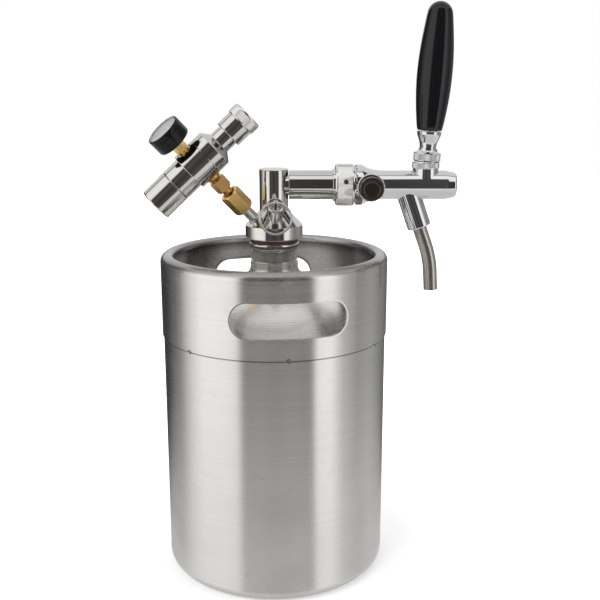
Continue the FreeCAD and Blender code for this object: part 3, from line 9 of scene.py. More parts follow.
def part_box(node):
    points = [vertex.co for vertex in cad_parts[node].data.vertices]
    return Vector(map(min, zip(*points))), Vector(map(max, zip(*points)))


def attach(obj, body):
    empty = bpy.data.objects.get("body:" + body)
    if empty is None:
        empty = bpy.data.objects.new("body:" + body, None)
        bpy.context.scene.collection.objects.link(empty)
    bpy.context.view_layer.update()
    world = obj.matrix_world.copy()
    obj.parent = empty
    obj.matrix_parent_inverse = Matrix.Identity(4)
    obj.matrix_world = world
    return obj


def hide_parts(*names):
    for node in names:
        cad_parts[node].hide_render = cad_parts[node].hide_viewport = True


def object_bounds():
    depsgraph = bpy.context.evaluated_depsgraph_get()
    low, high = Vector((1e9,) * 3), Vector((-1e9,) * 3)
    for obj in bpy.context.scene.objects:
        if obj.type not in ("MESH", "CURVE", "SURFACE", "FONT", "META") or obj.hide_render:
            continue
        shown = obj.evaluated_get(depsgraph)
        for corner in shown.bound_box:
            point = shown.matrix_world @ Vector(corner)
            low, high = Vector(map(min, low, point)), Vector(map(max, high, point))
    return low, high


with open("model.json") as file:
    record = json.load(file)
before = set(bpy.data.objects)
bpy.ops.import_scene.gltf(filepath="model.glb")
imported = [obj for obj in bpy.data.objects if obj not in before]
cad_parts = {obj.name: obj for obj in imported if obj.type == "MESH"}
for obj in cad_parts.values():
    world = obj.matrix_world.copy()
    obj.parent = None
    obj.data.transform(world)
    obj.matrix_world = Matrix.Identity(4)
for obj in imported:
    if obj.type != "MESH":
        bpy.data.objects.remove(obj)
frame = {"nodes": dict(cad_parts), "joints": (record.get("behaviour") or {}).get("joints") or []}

CAD_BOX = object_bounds()

bl_info = {
    "name": "Mini keg beer dispenser",
    "version": (1, 0, 0),
    "blender": (4, 5, 0),
    "location": "3D View > Sidebar > Mini Keg",
    "description": "Builds the mini keg's finishes, knurled nuts, lever, knob, gauge, ring and studio",
    "category": "Add Mesh",
}


# ---- shader maths ----


class Wire:
    """One output of a node. The usual signs between wires and numbers add Math nodes."""

    def __init__(self, tree, socket):
        self.tree = tree
        self.socket = socket

    def sum_with(self, operation, first, second):
        return self.tree.node("ShaderNodeMath", {"operation": operation}, {0: first, 1: second})

    def __add__(self, other):
        return self.sum_with("ADD", self, other)

    def __radd__(self, other):
        return self.sum_with("ADD", other, self)

    def __sub__(self, other):
        return self.sum_with("SUBTRACT", self, other)

    def __rsub__(self, other):
        return self.sum_with("SUBTRACT", other, self)

    def __mul__(self, other):
        return self.sum_with("MULTIPLY", self, other)

    def __rmul__(self, other):
        return self.sum_with("MULTIPLY", other, self)

    def __truediv__(self, other):
        return self.sum_with("DIVIDE", self, other)


class Tree:
    """A node tree under construction, with one method for any node."""

    def __init__(self, owner):
        owner.use_nodes = True
        self.tree = owner.node_tree
        self.tree.nodes.clear()

    def node(self, kind, settings=None, values=None, out=0):
        made = self.tree.nodes.new(kind)
        for key, value in (settings or {}).items():
            if key == "stops":
                self.set_stops(made.color_ramp, value)
            else:
                setattr(made, key, value)
        for key, value in (values or {}).items():
            if isinstance(value, Wire):
                self.tree.links.new(value.socket, made.inputs[key])
            else:
                made.inputs[key].default_value = value
        return Wire(self, made.outputs[out]) if len(made.outputs) else made

    def set_stops(self, ramp, stops):
        while len(ramp.elements) < len(stops):
            ramp.elements.new(1.0)
        for element, (place, level) in zip(ramp.elements, stops):
            element.position = place
            element.color = (level, level, level, 1.0)

    def place(self, scale=(1, 1, 1), move=(0, 0, 0)):
        """Object coordinates, moved and stretched."""
        here = self.node("ShaderNodeTexCoord", out="Object")
        return self.node("ShaderNodeMapping", {}, {"Vector": here, "Location": move, "Scale": scale})

    def noise(self, where, scale, detail=2.0, rough=0.5):
        values = {"Vector": where, "Scale": scale, "Detail": detail, "Roughness": rough}
        return self.node("ShaderNodeTexNoise", {}, values)

    def rings(self, axis, scale, waver=0.4):
        """Noise that changes only along an axis, as turning marks do."""
        along = self.node("ShaderNodeVectorMath", {"operation": "DOT_PRODUCT"},
                          {0: self.place(), 1: axis}, out="Value")
        drift = self.noise(self.place(), 25, 1.0)
        values = {"W": along * scale + drift * waver, "Scale": 1.0, "Detail": 3.0, "Roughness": 0.6}
        return self.node("ShaderNodeTexNoise", {"noise_dimensions": "1D"}, values)

    def spread(self, wire, low, high, to_low=0.0, to_high=1.0):
        """Stretch a value's range to another, held at its ends."""
        values = {"Value": wire, "From Min": low, "From Max": high, "To Min": to_low, "To Max": to_high}
        return self.node("ShaderNodeMapRange", {"clamp": True}, values)

    def mix(self, factor, first, second):
        """Mix two colours."""
        values = {0: factor, 6: first, 7: second}
        return self.node("ShaderNodeMix", {"data_type": "RGBA"}, values, out=2)

    def bump(self, height, strength, distance):
        values = {"Height": height, "Strength": strength, "Distance": distance}
        return self.node("ShaderNodeBump", {}, values)


def rgb(colour):
    """A colour property as a colour socket's value."""
    return (colour[0], colour[1], colour[2], 1.0)


def shade(colour, share):
    """The same colour, darker or lighter."""
    return (colour[0] * share, colour[1] * share, colour[2] * share, 1.0)


def finish(name, build):
    """Make a material; build(tree) gives the values and wires of its Principled shader."""
    material = bpy.data.materials.new(name)
    tree = Tree(material)
    surface = tree.node("ShaderNodeBsdfPrincipled", {}, build(tree))
    tree.node("ShaderNodeOutputMaterial", {}, {"Surface": surface})
    return material


# ---- modelling ----

MM = 0.001
POINT_R = 0.01      # millimetres, stands for a lathe station's radius of 0
CAN_R = 0.085
COLLAR_R = 0.0859


def fresh_start():
    """Leave edit mode and select nothing."""
    if bpy.context.object and bpy.context.object.mode != "OBJECT":
        bpy.ops.object.mode_set(mode="OBJECT")
    bpy.ops.object.select_all(action="DESELECT")


def named(name):
    """Name the object just added."""
    piece = bpy.context.object
    piece.name = name
    piece.data.name = name
    return piece


def pick(piece, kind, test):
    """In edit mode, select only the faces or edges that pass the test."""
    bpy.ops.mesh.select_mode(type="FACE" if kind == "faces" else "EDGE")
    bpy.ops.mesh.select_all(action="DESELECT")
    mesh = bmesh.from_edit_mesh(piece.data)
    for part in getattr(mesh, kind):
        if test(part):
            part.select = True
    mesh.select_flush_mode()
    bmesh.update_edit_mesh(piece.data)


def tidy():
    """In edit mode, merge doubles and turn every face outward."""
    bpy.ops.mesh.select_all(action="SELECT")
    bpy.ops.mesh.remove_doubles(threshold=0.000002)
    bpy.ops.mesh.normals_make_consistent(inside=False)


def lathe(name, stations, sides=96):
    """Extrude a circle from station to station, each (radius, height) in millimetres about Z.
    A radius of 0 closes to a point; a last station equal to the first closes a bored ring."""
    fresh_start()
    radius, height = stations[0]
    last = radius or POINT_R
    bpy.ops.mesh.primitive_circle_add(vertices=sides, radius=last * MM, location=(0, 0, 0))
    piece = named(name)
    bpy.ops.object.mode_set(mode="EDIT")
    bpy.ops.mesh.select_mode(type="VERT")
    bpy.ops.mesh.select_all(action="SELECT")
    bpy.ops.transform.translate(value=(0, 0, height * MM))
    if not radius:
        bpy.ops.mesh.edge_face_add()
    for new_radius, new_height in stations[1:]:
        rise = (0, 0, (new_height - height) * MM)
        bpy.ops.mesh.extrude_region_move(TRANSFORM_OT_translate={"value": rise})
        wanted = new_radius or POINT_R
        share = wanted / last
        if share != 1:
            bpy.ops.transform.resize(value=(share, share, 1), center_override=(0, 0, new_height * MM))
        last, height = wanted, new_height
    if not stations[-1][0]:
        bpy.ops.mesh.edge_face_add()
    tidy()
    bpy.ops.object.mode_set(mode="OBJECT")
    return piece


def arc(centre, radius, start, end, steps=6):
    """Stations on an arc about (radius, height), from one angle to another in degrees."""
    made = []
    for i in range(steps + 1):
        a = math.radians(start + (end - start) * i / steps)
        made.append((centre[0] + radius * math.cos(a), centre[1] + radius * math.sin(a)))
    return made


def rows(radius, low, high, count):
    """Evenly spaced stations up a straight wall."""
    return [(radius, low + (high - low) * i / count) for i in range(count + 1)]


def knurl(piece, low, high, radius, count, depth):
    """Turn a wall of square faces between two heights into a diamond knurl. Each square is cut in
    four from its middle, the squares' own edges go, and each diamond that is left gets a point."""
    step = (high - low) / count * MM

    def on_wall(face):
        middle = face.calc_center_median()
        outside = middle.xy.length > (radius - 0.3) * MM and face.normal.xy.length > 0.9
        return outside and low * MM < middle.z < high * MM

    def on_row(vert):
        rows_up = (vert.co.z - low * MM) / step
        return abs(round(rows_up) - rows_up) < 0.05

    def squares_edge(edge):
        between = [face for face in edge.link_faces if len(face.verts) == 3 and on_wall(face)]
        return len(between) == len(edge.link_faces) == 2 and all(on_row(vert) for vert in edge.verts)

    bpy.ops.object.mode_set(mode="EDIT")
    pick(piece, "faces", on_wall)
    bpy.ops.mesh.poke(offset=0)
    pick(piece, "edges", squares_edge)
    bpy.ops.mesh.dissolve_edges(use_verts=False)
    pick(piece, "faces", lambda face: on_wall(face) and len(face.verts) == 4)
    bpy.ops.mesh.poke(offset=depth * MM)
    bpy.ops.mesh.select_all(action="DESELECT")
    bpy.ops.object.mode_set(mode="OBJECT")


def apply_modifiers(piece):
    """Apply every modifier of the piece, in order."""
    fresh_start()
    piece.select_set(True)
    bpy.context.view_layer.objects.active = piece
    for modifier in list(piece.modifiers):
        bpy.ops.object.modifier_apply(modifier=modifier.name)


def round_edges(piece, width):
    """Bevel every sharp edge."""
    bevel = piece.modifiers.new("round edges", "BEVEL")
    bevel.width = width * MM
    bevel.segments = 2
    bevel.limit_method = "ANGLE"
    bevel.angle_limit = math.radians(30)
    apply_modifiers(piece)


def cut(piece, cutters):
    """Cut the cutters out of the piece, then throw them away."""
    for cutter in cutters:
        boolean = piece.modifiers.new("cut", "BOOLEAN")
        boolean.object = cutter
        boolean.solver = "EXACT"
    apply_modifiers(piece)
    for cutter in cutters:
        bpy.data.objects.remove(cutter)


def smooth(piece, angle):
    """Smooth shading, apart from edges sharper than the angle."""
    fresh_start()
    piece.select_set(True)
    bpy.context.view_layer.objects.active = piece
    bpy.ops.object.shade_smooth_by_angle(angle=math.radians(angle))


def facing(axis, side=None):
    """Rotation that lays Z along the axis and, if given, X near the side."""
    up = Vector(axis).normalized()
    free_side = (1, 0, 0) if abs(up.x) < 0.9 else (0, 1, 0)
    across = up.cross(Vector(side or free_side)).normalized()
    return Matrix((across.cross(up), across, up)).transposed().to_4x4()


def seat(piece, place, axis=(0, 0, 1), side=None):
    """Put a piece drawn about Z in its place, and keep the place in its mesh."""
    fresh_start()
    piece.matrix_world = Matrix.Translation(Vector(place)) @ facing(axis, side)
    piece.select_set(True)
    bpy.context.view_layer.objects.active = piece
    bpy.ops.object.transform_apply(location=True, rotation=True, scale=True)


def join(pieces):
    """Join loose pieces into the first."""
    fresh_start()
    for piece in pieces:
        piece.select_set(True)
    bpy.context.view_layer.objects.active = pieces[0]
    bpy.ops.object.join()
    return pieces[0]


def hand_over(piece, body, slot, material, *nodes):
    """Give a finished piece its material, its body and the nodes it stands for."""
    piece.data.materials.clear()
    piece.data.materials.append(material)
    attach(piece, body)
    if nodes:
        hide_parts(*nodes)


def dress(material, *nodes):
    """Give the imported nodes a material."""
    for node in nodes:
        mesh = frame["nodes"][node].data
        mesh.materials.clear()
        mesh.materials.append(material)


def lever_line():
    """Direction of the handle's axis at rest, leaning a little towards the front of the tap."""
    lean = math.radians(3.5)
    return Vector((math.sin(lean), 0, math.cos(lean)))


def joint(name):
    """Axis and place of one of the frame's joints."""
    found = next(j for j in frame["joints"] if j["name"] == name)
    return Vector(found["axis"]), Vector(found.get("pos_m", (0, 0, 0)))


# ---- colours and sizes that a user would change ----


def colour(name, description, value):
    """A colour that the sidebar shows as a swatch."""
    return bpy.props.FloatVectorProperty(name=name, description=description, default=value,
                                         subtype="COLOR", size=3, min=0.0, max=1.0)


def length(name, description, value):
    """A length in metres that the sidebar shows in the scene's unit."""
    return bpy.props.FloatProperty(name=name, description=description, default=value, min=0.0,
                                   unit="LENGTH", subtype="DISTANCE", precision=5)


class MiniKegColours(bpy.types.PropertyGroup):
    """Base colours of the finishes."""
    can: colour("Can steel", "Brushed stainless steel of the can and collar", (0.80, 0.79, 0.775))
    polished: colour("Polished steel", "Polished steel of the head and regulator", (0.70, 0.68, 0.655))
    tube: colour("Tube steel", "Drawn steel of the spout and the dip tube", (0.62, 0.575, 0.53))
    chrome: colour("Chrome", "Mirror chrome of the tap", (0.76, 0.76, 0.765))
    satin: colour("Satin steel", "Knurled rings", (0.80, 0.79, 0.78))
    brass: colour("Brass", "Swivel nut and gauge stem", (0.92, 0.63, 0.24))
    bronze: colour("Dark brass", "Nipple between the nut and the regulator", (0.64, 0.37, 0.13))
    handle: colour("Handle black", "Gloss plastic of the tap handle", (0.006, 0.006, 0.007))
    knob: colour("Knob brown", "Gloss plastic of the flow knob", (0.020, 0.013, 0.010))
    case: colour("Gauge black", "Painted steel of the gauge case", (0.008, 0.008, 0.009))
    gasket: colour("Gasket brown", "Rubber ring under the head", (0.10, 0.035, 0.022))
    rubber: colour("Black rubber", "Seals inside the head and tap", (0.02, 0.02, 0.02))
    dial: colour("Dial white", "Enamel of the gauge face", (0.72, 0.72, 0.70))
    ink: colour("Dial ink", "Marks, numbers and pointer of the gauge", (0.015, 0.015, 0.018))
    spring: colour("Spring steel", "Springs and pull ring", (0.93, 0.92, 0.90))


class MiniKegSizes(bpy.types.PropertyGroup):
    """Sizes of the details that are modelled here."""
    knurl_pitch: length("Knurl pitch", "Distance between the knurl's ridges round a ring", 0.0011)
    knurl_depth: length("Knurl depth", "How far the knurl's points stand out", 0.00026)
    tick: length("Dial tick", "Length of the dial's long ticks", 0.0017)
    figure: length("Dial figures", "Height of the dial's numbers", 0.0026)
    ring_gap: length("Ring turns", "Distance between the two turns of the split ring", 0.0013)
    scratch: length("Scratch depth", "Depth of the brushing on the can", 0.00006)
    table: length("Table", "Width of the floor under the keg", 6.0)


def colours():
    return bpy.context.scene.mini_keg_colours


def sizes():
    return bpy.context.scene.mini_keg_sizes


# ---- finishes ----


def brushed_can(name, radius, inner, creases):
    """Stainless sheet brushed round the can, with faint smudges and handling marks. Inside the wall's
    outer radius the colour takes the inner share of itself, which is painted light: a share below 1 is
    painted shade and one above 1 painted lightening. A crease is painted shade: a side, a band of
    heights in millimetres and the share of the colour left in it."""
    c = colours().can

    def build(t):
        flat = t.place(scale=(1, 1, 0))
        across = t.node("ShaderNodeVectorMath", {"operation": "LENGTH"}, {0: flat}, out="Value")
        wall = t.spread(across, radius - 0.0008, radius - 0.0002)
        height = t.node("ShaderNodeSeparateXYZ", {}, {0: t.place()}, out=2) / MM
        # painted shade: each crease band lowers this share, which darkens the colour there towards black
        unshaded = 1
        for side, fade, low, high, end, share in creases:
            band = t.spread(height, fade, low) * t.spread(height, end, high)
            unshaded = unshaded - (1 - share) * (band * (wall if side == "outside" else 1 - wall))
        fine = t.noise(t.place(scale=(9, 9, 2600)), 1.0, 3.0, 0.6)
        coarse = t.noise(t.place(scale=(5, 5, 620)), 1.0, 2.0)
        streak = t.spread(fine * 0.7 + coarse * 0.3, 0.3, 0.7)
        smudge = t.spread(t.noise(t.place(), 22, 4.0, 0.6), 0.42, 0.68)
        water = t.spread(t.noise(t.place(move=(3, 1, 2)), 75, 2.0), 0.66, 0.72)
        rough = 0.225 + streak * 0.05 + smudge * 0.04 + water * 0.04
        tone = t.spread(streak * 0.8 + (1 - smudge) * 0.2, 0.0, 1.0)
        outer = t.mix(tone, shade(c, 0.90), shade(c, 1.04))
        # painted light: inside the wall's outer radius the colour is scaled by the inner share
        body = t.mix(wall, shade(c, inner), outer)
        # painted shade: black is mixed in wherever the crease bands have lowered the share
        return {"Base Color": t.mix(unshaded, (0, 0, 0, 1), body), "Metallic": 1.0, "Roughness": rough,
                "Anisotropic": 0.92, "Anisotropic Rotation": 0.25,
                "Normal": t.bump(fine * 0.7 + coarse * 0.3, 0.35, sizes().scratch)}
    return finish(name, build)


def weld_bead(tint):
    """Spot welds: bright beads with scorched pits."""

    def build(t):
        scorch = t.spread(t.noise(t.place(), 900, 2.0), 0.44, 0.56)
        return {"Base Color": t.mix(scorch, shade(tint, 1.1), shade(tint, 0.22)), "Metallic": 1.0,
                "Roughness": 0.2 + scorch * 0.25}
    return finish("seam weld steel", build)


def turned_steel(name, tint, low, high, axis=(0, 0, 1), marks=0.04):
    """Polished or satin metal between two roughnesses: fine lathe rings about the axis, whose bump has
    the strength of the marks, and faint smudges."""
    room = high - low

    def build(t):
        rings = t.rings(axis, 1800)
        hazy = t.spread(t.noise(t.place(), 46, 4.0, 0.6), 0.36, 0.70)
        fingers = t.spread(t.noise(t.place(move=(1, 4, 2)), 130, 3.0, 0.7), 0.52, 0.72)
        rough = low + rings * room * 0.45 + hazy * room * 0.35 + fingers * room * 0.3
        tone = t.spread(hazy * 0.6 + rings * 0.4, 0.2, 0.8)
        return {"Base Color": t.mix(tone, shade(tint, 1.03), shade(tint, 0.95)), "Metallic": 1.0,
                "Roughness": rough, "Normal": t.bump(rings, marks, 0.00003)}
    return finish(name, build)


def tarnished_brass(name, tint, low, high, axis):
    """Turned brass between two roughnesses, with a little darker tarnish in patches."""
    tarnish = (tint[0], tint[1] * 0.97, tint[2] * 0.92)
    room = high - low

    def build(t):
        cloud = t.spread(t.noise(t.place(), 110, 3.0, 0.5), 0.40, 0.75)
        spots = t.spread(t.noise(t.place(move=(2, 0, 5)), 380, 1.0), 0.68, 0.78)
        rings = t.rings(axis, 1500)
        body = t.mix(cloud, shade(tint, 1.03), shade(tarnish, 0.95))
        return {"Base Color": t.mix(spots * 0.2, body, shade(tint, 0.75)), "Metallic": 1.0,
                "Roughness": low + cloud * room * 0.6 + rings * room * 0.4 + spots * 0.04,
                "Normal": t.bump(rings, 0.05, 0.00004)}
    return finish(name, build)


def gloss_plastic(name, tint, low, high, coat):
    """Moulded gloss plastic: faint orange peel, hairline rub marks and a little dust."""

    def build(t):
        peel = t.noise(t.place(), 210, 2.0)
        rub = t.spread(t.noise(t.place(scale=(40, 40, 9)), 30, 4.0, 0.7), 0.45, 0.75)
        dust = t.spread(t.noise(t.place(move=(7, 2, 1)), 1100, 1.0), 0.76, 0.82)
        return {"Base Color": t.mix(dust * 0.12, rgb(tint), (0.3, 0.29, 0.28, 1.0)),
                "Roughness": low + rub * (high - low) + dust * 0.1, "Specular IOR Level": 0.3,
                "Coat Weight": coat, "Coat Roughness": 0.05, "Normal": t.bump(peel, 0.02, 0.0002)}
    return finish(name, build)


def soft_rubber(name, tint):
    """Moulded rubber with a fine matt skin and greyed high spots."""

    def build(t):
        grain = t.noise(t.place(), 1500, 3.0, 0.6)
        worn = t.spread(t.noise(t.place(), 120, 3.0), 0.5, 0.75)
        return {"Base Color": t.mix(worn * 0.5, rgb(tint), shade(tint, 1.9)),
                "Roughness": 0.42 + worn * 0.2, "Normal": t.bump(grain, 0.25, 0.0001)}
    return finish(name, build)


def painted_case():
    """Black stoved paint on pressed steel, a little rubbed."""
    c = colours().case

    def build(t):
        peel = t.noise(t.place(), 700, 2.0)
        rub = t.spread(t.noise(t.place(), 260, 4.0, 0.7), 0.55, 0.72)
        return {"Base Color": t.mix(rub * 0.15, rgb(c), shade(c, 3.0)), "Roughness": 0.13 + rub * 0.06,
                "Specular IOR Level": 0.2, "Normal": t.bump(peel, 0.04, 0.0001)}
    return finish("gauge case paint", build)


def dial_enamel():
    """Off-white enamel, slightly uneven."""
    c = colours().dial

    def build(t):
        cloud = t.noise(t.place(), 260, 3.0)
        return {"Base Color": t.mix(cloud, rgb(c), shade(c, 0.94)), "Roughness": 0.4 + cloud * 0.1,
                "Normal": t.bump(cloud, 0.05, 0.0001)}
    return finish("dial enamel", build)


def dial_ink():
    """Printed ink, slightly uneven."""
    c = colours().ink

    def build(t):
        fade = t.noise(t.place(), 2000, 2.0)
        return {"Base Color": t.mix(fade, rgb(c), shade(c, 1.8)), "Roughness": 0.45 + fade * 0.1}
    return finish("dial ink", build)


def gauge_glass():
    """Clear acrylic lens: glossy and see-through, with a trace of haze. Its pale grey colour is painted
    reflection, and it grows more opaque towards its edge as painted sheen.
    """
    # painted reflection: the lens's pale greys stand in for the bright room it reflects, a little paler
    # where hazed
    clear, hazed_reflection = (0.62, 0.62, 0.62), (0.7, 0.7, 0.7)

    def build(t):
        haze = t.spread(t.noise(t.place(), 260, 3.0), 0.45, 0.8)
        # painted sheen: by Fresnel the pale grey grows more opaque towards the lens's edge
        edge = t.node("ShaderNodeFresnel", {}, {"IOR": 1.35})
        return {"Base Color": t.mix(haze, rgb(clear), rgb(hazed_reflection)), "Roughness": 0.03 + haze * 0.04,
                "IOR": 1.5, "Alpha": t.spread(0.16 + edge * 0.6 + haze * 0.05, 0.0, 1.0)}
    return finish("gauge lens", build)


# ---- pieces ----


class MINIKEG_OT_finishes(bpy.types.Operator):
    """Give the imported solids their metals, plastics and rubbers"""
    bl_idname = "minikeg.finishes"
    bl_label = "Finishes"

    def execute(self, context):
        c = colours()
        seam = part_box("handle_collar")[0].z / MM
        # painted shade: a dark band on the can's outside just under the collar's lower edge
        seam_shade = ("outside", seam - 1.6, seam - 0.9, seam, seam + 0.5, 0.35)
        # painted shade: a dark band on the collar's inside under the rolled rim
        rim_shade = ("inside", 233, 240, 241.5, 242.5, 0.3)
        # painted light: the number after each radius is the inside share, so the can's inside is a little
        # darker, the dome lighter and the collar's rim and inside much darker
        dress(brushed_can("brushed can", CAN_R, 0.9, [seam_shade]), "keg_body")
        dress(brushed_can("brushed dome", CAN_R, 1.2, []), "keg_dome")
        dress(brushed_can("brushed collar", COLLAR_R, 0.55, [rim_shade]),
              "handle_collar", "slot_panel_front", "slot_panel_back")
        dress(weld_bead(c.can), "seam_welds")
        along, centre = joint("regulator_travel")[0], joint("regulator_knob_turn")[1]
        gas_line = Vector((centre.x, centre.y, 0)).normalized()
        dress(turned_steel("polished head steel", c.polished, 0.05, 0.13),
              "keg_neck", "head_hub", "column")
        dress(turned_steel("polished arm steel", c.polished, 0.05, 0.12, (1, 0, 0)), "arm_tube")
        dress(turned_steel("polished regulator steel", c.polished, 0.06, 0.14, along),
              "inlet_neck", "regulator_body", "regulator_bonnet", "regulator_knob", "cartridge_socket")
        dress(turned_steel("polished relief valve steel", c.polished, 0.05, 0.13, joint("relief_pull")[0]),
              "relief_body", "relief_cap", "relief_stem")
        dress(turned_steel("polished gas line steel", c.polished, 0.06, 0.14, gas_line), "gas_stub")
        dress(turned_steel("turned inner steel", c.polished, 0.12, 0.22),
              "tap_shaft", "lever_stem", "flow_spindle", "adjusting_screw", "piston", "valve_pin",
              "piercing_pin", "spring_plate", "gauge_tube")
        dress(turned_steel("drawn tube steel", c.tube, 0.24, 0.34, marks=0.1), "dip_tube", "spout_tube")
        dress(turned_steel("tap chrome", c.chrome, 0.015, 0.05, (1, 0, 0), 0.02),
              "tap_body", "shank_flange")
        dress(turned_steel("ferrule chrome", c.chrome, 0.02, 0.06, lever_line(), 0.02), "lever_ferrule")
        dress(tarnished_brass("nut brass", c.brass, 0.22, 0.34, gas_line), "swivel_nut", "gauge_stem")
        dress(tarnished_brass("dark nipple brass", c.bronze, 0.24, 0.36, gas_line), "nipple")
        dress(turned_steel("spring wire", c.spring, 0.12, 0.2), "set_spring", "relief_spring")
        dress(soft_rubber("gasket rubber", c.gasket), "cap_gasket")
        dress(soft_rubber("black rubber", c.rubber),
              "dip_tube_seal", "check_valve", "shank_seal", "seat_seal", "compensator", "piston_seal",
              "relief_seal", "cartridge_seal", "friction_washer")
        dress(gauge_glass(), "gauge_lens")
        return {"FINISHED"}


def knurled_ring(name, before, radius, band_low, band_high, after):
    """A turned ring about Z whose straight wall between two heights carries a diamond knurl."""
    pitch = sizes().knurl_pitch / MM
    count = max(2, round((band_high - band_low) / pitch))
    sides = round(2 * math.pi * radius / pitch)
    ring = lathe(name, before + rows(radius, band_low, band_high, count) + after, sides)
    knurl(ring, band_low, band_high, radius, count, sizes().knurl_depth / MM)
    return ring


def second_finish(piece, material, test):
    """Give the faces that pass the test a second material."""
    piece.data.materials.append(material)
    for face in piece.data.polygons:
        if test(face):
            face.material_index = len(piece.data.materials) - 1


class MINIKEG_OT_collar_nut(bpy.types.Operator):
    """Knurled collar nut with its spanner holes"""
    bl_idname = "minikeg.collar_nut"
    bl_label = "Collar nut"

    def execute(self, context):
        low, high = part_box("collar_nut")
        rear, front, radius = low.x / MM, high.x / MM, (high.z - low.z) / 2 / MM - 0.35
        shoulder = [(1.1, 0), (0.45, 0.3), (0.12, 0.9)]
        bore, mouth, web = 12.15, 13.35, 3
        before = [(bore, rear)] + [(radius - less, rear + up) for less, up in shoulder]
        after = [(radius - less, front - up) for less, up in reversed(shoulder)]
        after += [(mouth, front), (mouth, rear + web), (bore, rear + web), (bore, rear)]
        nut = knurled_ring("knurled_collar_nut", before, radius, rear + 1.4, front - 1.4, after)
        cut(nut, [self.drill(i) for i in range(4)])
        seat(nut, (0, 0, (high.z + low.z) / 2), (1, 0, 0), (0, 0, 1))
        smooth(nut, 22)
        steel = turned_steel("collar nut steel", colours().satin, 0.12, 0.22, (1, 0, 0))
        hand_over(nut, "head", "chrome_knurled", steel, "collar_nut")
        return {"FINISHED"}

    def drill(self, i):
        """Cutter of one spanner hole, in the nut's frame before it is seated."""
        hole_r, depth, out_at, along_at = 1.85, 6, 15.4, 53.4
        turn = math.radians(76 + i * 90)
        out = Vector((math.cos(turn), math.sin(turn), 0))
        fresh_start()
        bpy.ops.mesh.primitive_cylinder_add(vertices=32, radius=hole_r * MM, depth=depth * MM)
        drill = named(f"spanner_drill_{i}")
        seat(drill, out * out_at * MM + Vector((0, 0, along_at * MM)), out)
        return drill


class MINIKEG_OT_lever_rings(bpy.types.Operator):
    """Knurled bonnet ring with its dome, and the knurled nut and cone under the lever"""
    bl_idname = "minikeg.lever_rings"
    bl_label = "Lever rings"

    def execute(self, context):
        up = lever_line()
        satin = turned_steel("lever ring steel", colours().satin, 0.12, 0.22, up)
        bright = turned_steel("lever cone chrome", colours().chrome, 0.02, 0.06, up, 0.02)
        pivot = joint("lever_tilt")[1]
        band_r, dome, dome_wall, hollow = 9.8, 12.747, 1.6, 13.148
        top = self.on_sphere(dome, (9.4, 8.2, 6.6, 4.8, 3.0, 2.4))
        under = self.on_sphere(dome - dome_wall, (2.4, 4.0, 6.0, 7.4))
        foot = [(8.65, 3.4), (9.45, 3.4), (9.72, 3.6)]
        ring = knurled_ring("knurled_bonnet_ring", foot, band_r, 3.8, 7.95,
                            [(9.72, 8.15)] + top + under + [(8.65, 6.6), (8.65, 3.4)])
        back, front, across, low, high = -3.1, 8.2, 4.7, 8, 15
        middle = Vector((back + front, 0, low + high)) / 2 * MM
        fresh_start()
        bpy.ops.mesh.primitive_cube_add(size=1, location=middle)
        slot = named("lever_slot")
        slot.scale = ((front - back) * MM, across * MM, (high - low) * MM)
        cut(ring, [slot])
        seat(ring, pivot, (0, 0, 1), (1, 0, 0))
        smooth(ring, 22)
        hand_over(ring, "head", "chrome_knurled", satin, "bonnet_ring")
        second_finish(ring, bright, lambda f: (f.center - pivot).xy.length < 9.3 * MM)
        inside = self.on_sphere(hollow, (2.0, 4.0, 6.0, 7.6, 9.0))
        cone = [(9.72, 14.75), (9.5, 14.98), (9.0, 15.15), (8.4, 15.4), (7.7, 15.95), (7.05, 16.9),
                (6.7, 18.2)]
        nut = knurled_ring("knurled_lever_nut", inside + [(9.6, 9.0)], band_r, 9.2, 14.5,
                           cone + [(2.0, 18.2), inside[0]])
        seat(nut, pivot, up, (1, 0, 0))
        smooth(nut, 22)
        hand_over(nut, "lever", "chrome_knurled", satin, "lever_nut")
        second_finish(nut, bright, lambda f: (f.center - pivot).dot(up) > 14.7 * MM)
        return {"FINISHED"}

    def on_sphere(self, radius, stations):
        """Stations on a sphere about the lever's pivot, at these radii."""
        return [(r, math.sqrt(radius ** 2 - r ** 2)) for r in stations]


class MINIKEG_OT_inlet_grip(bpy.types.Operator):
    """Knurled grip ring of the cartridge socket"""
    bl_idname = "minikeg.inlet_grip"
    bl_label = "Inlet grip"

    def execute(self, context):
        axis, centre = joint("regulator_travel")[0], joint("regulator_knob_turn")[1]
        bore, band_r, rear, front = 8.9, 11.15, 40.2, 48.68
        foot = [(bore, rear), (10.7, rear), (11.0, 40.5)]
        mouth = [(11.1, 47.8), (10.85, 48.35), (10.3, front), (bore, front), (bore, rear)]
        grip = knurled_ring("knurled_inlet_grip", foot, band_r, 41.0, 47.4, mouth)
        seat(grip, centre, axis)
        smooth(grip, 22)
        steel = turned_steel("inlet grip steel", colours().satin, 0.14, 0.24, axis)
        hand_over(grip, "head", "chrome_knurled", steel, "inlet_grip")
        return {"FINISHED"}


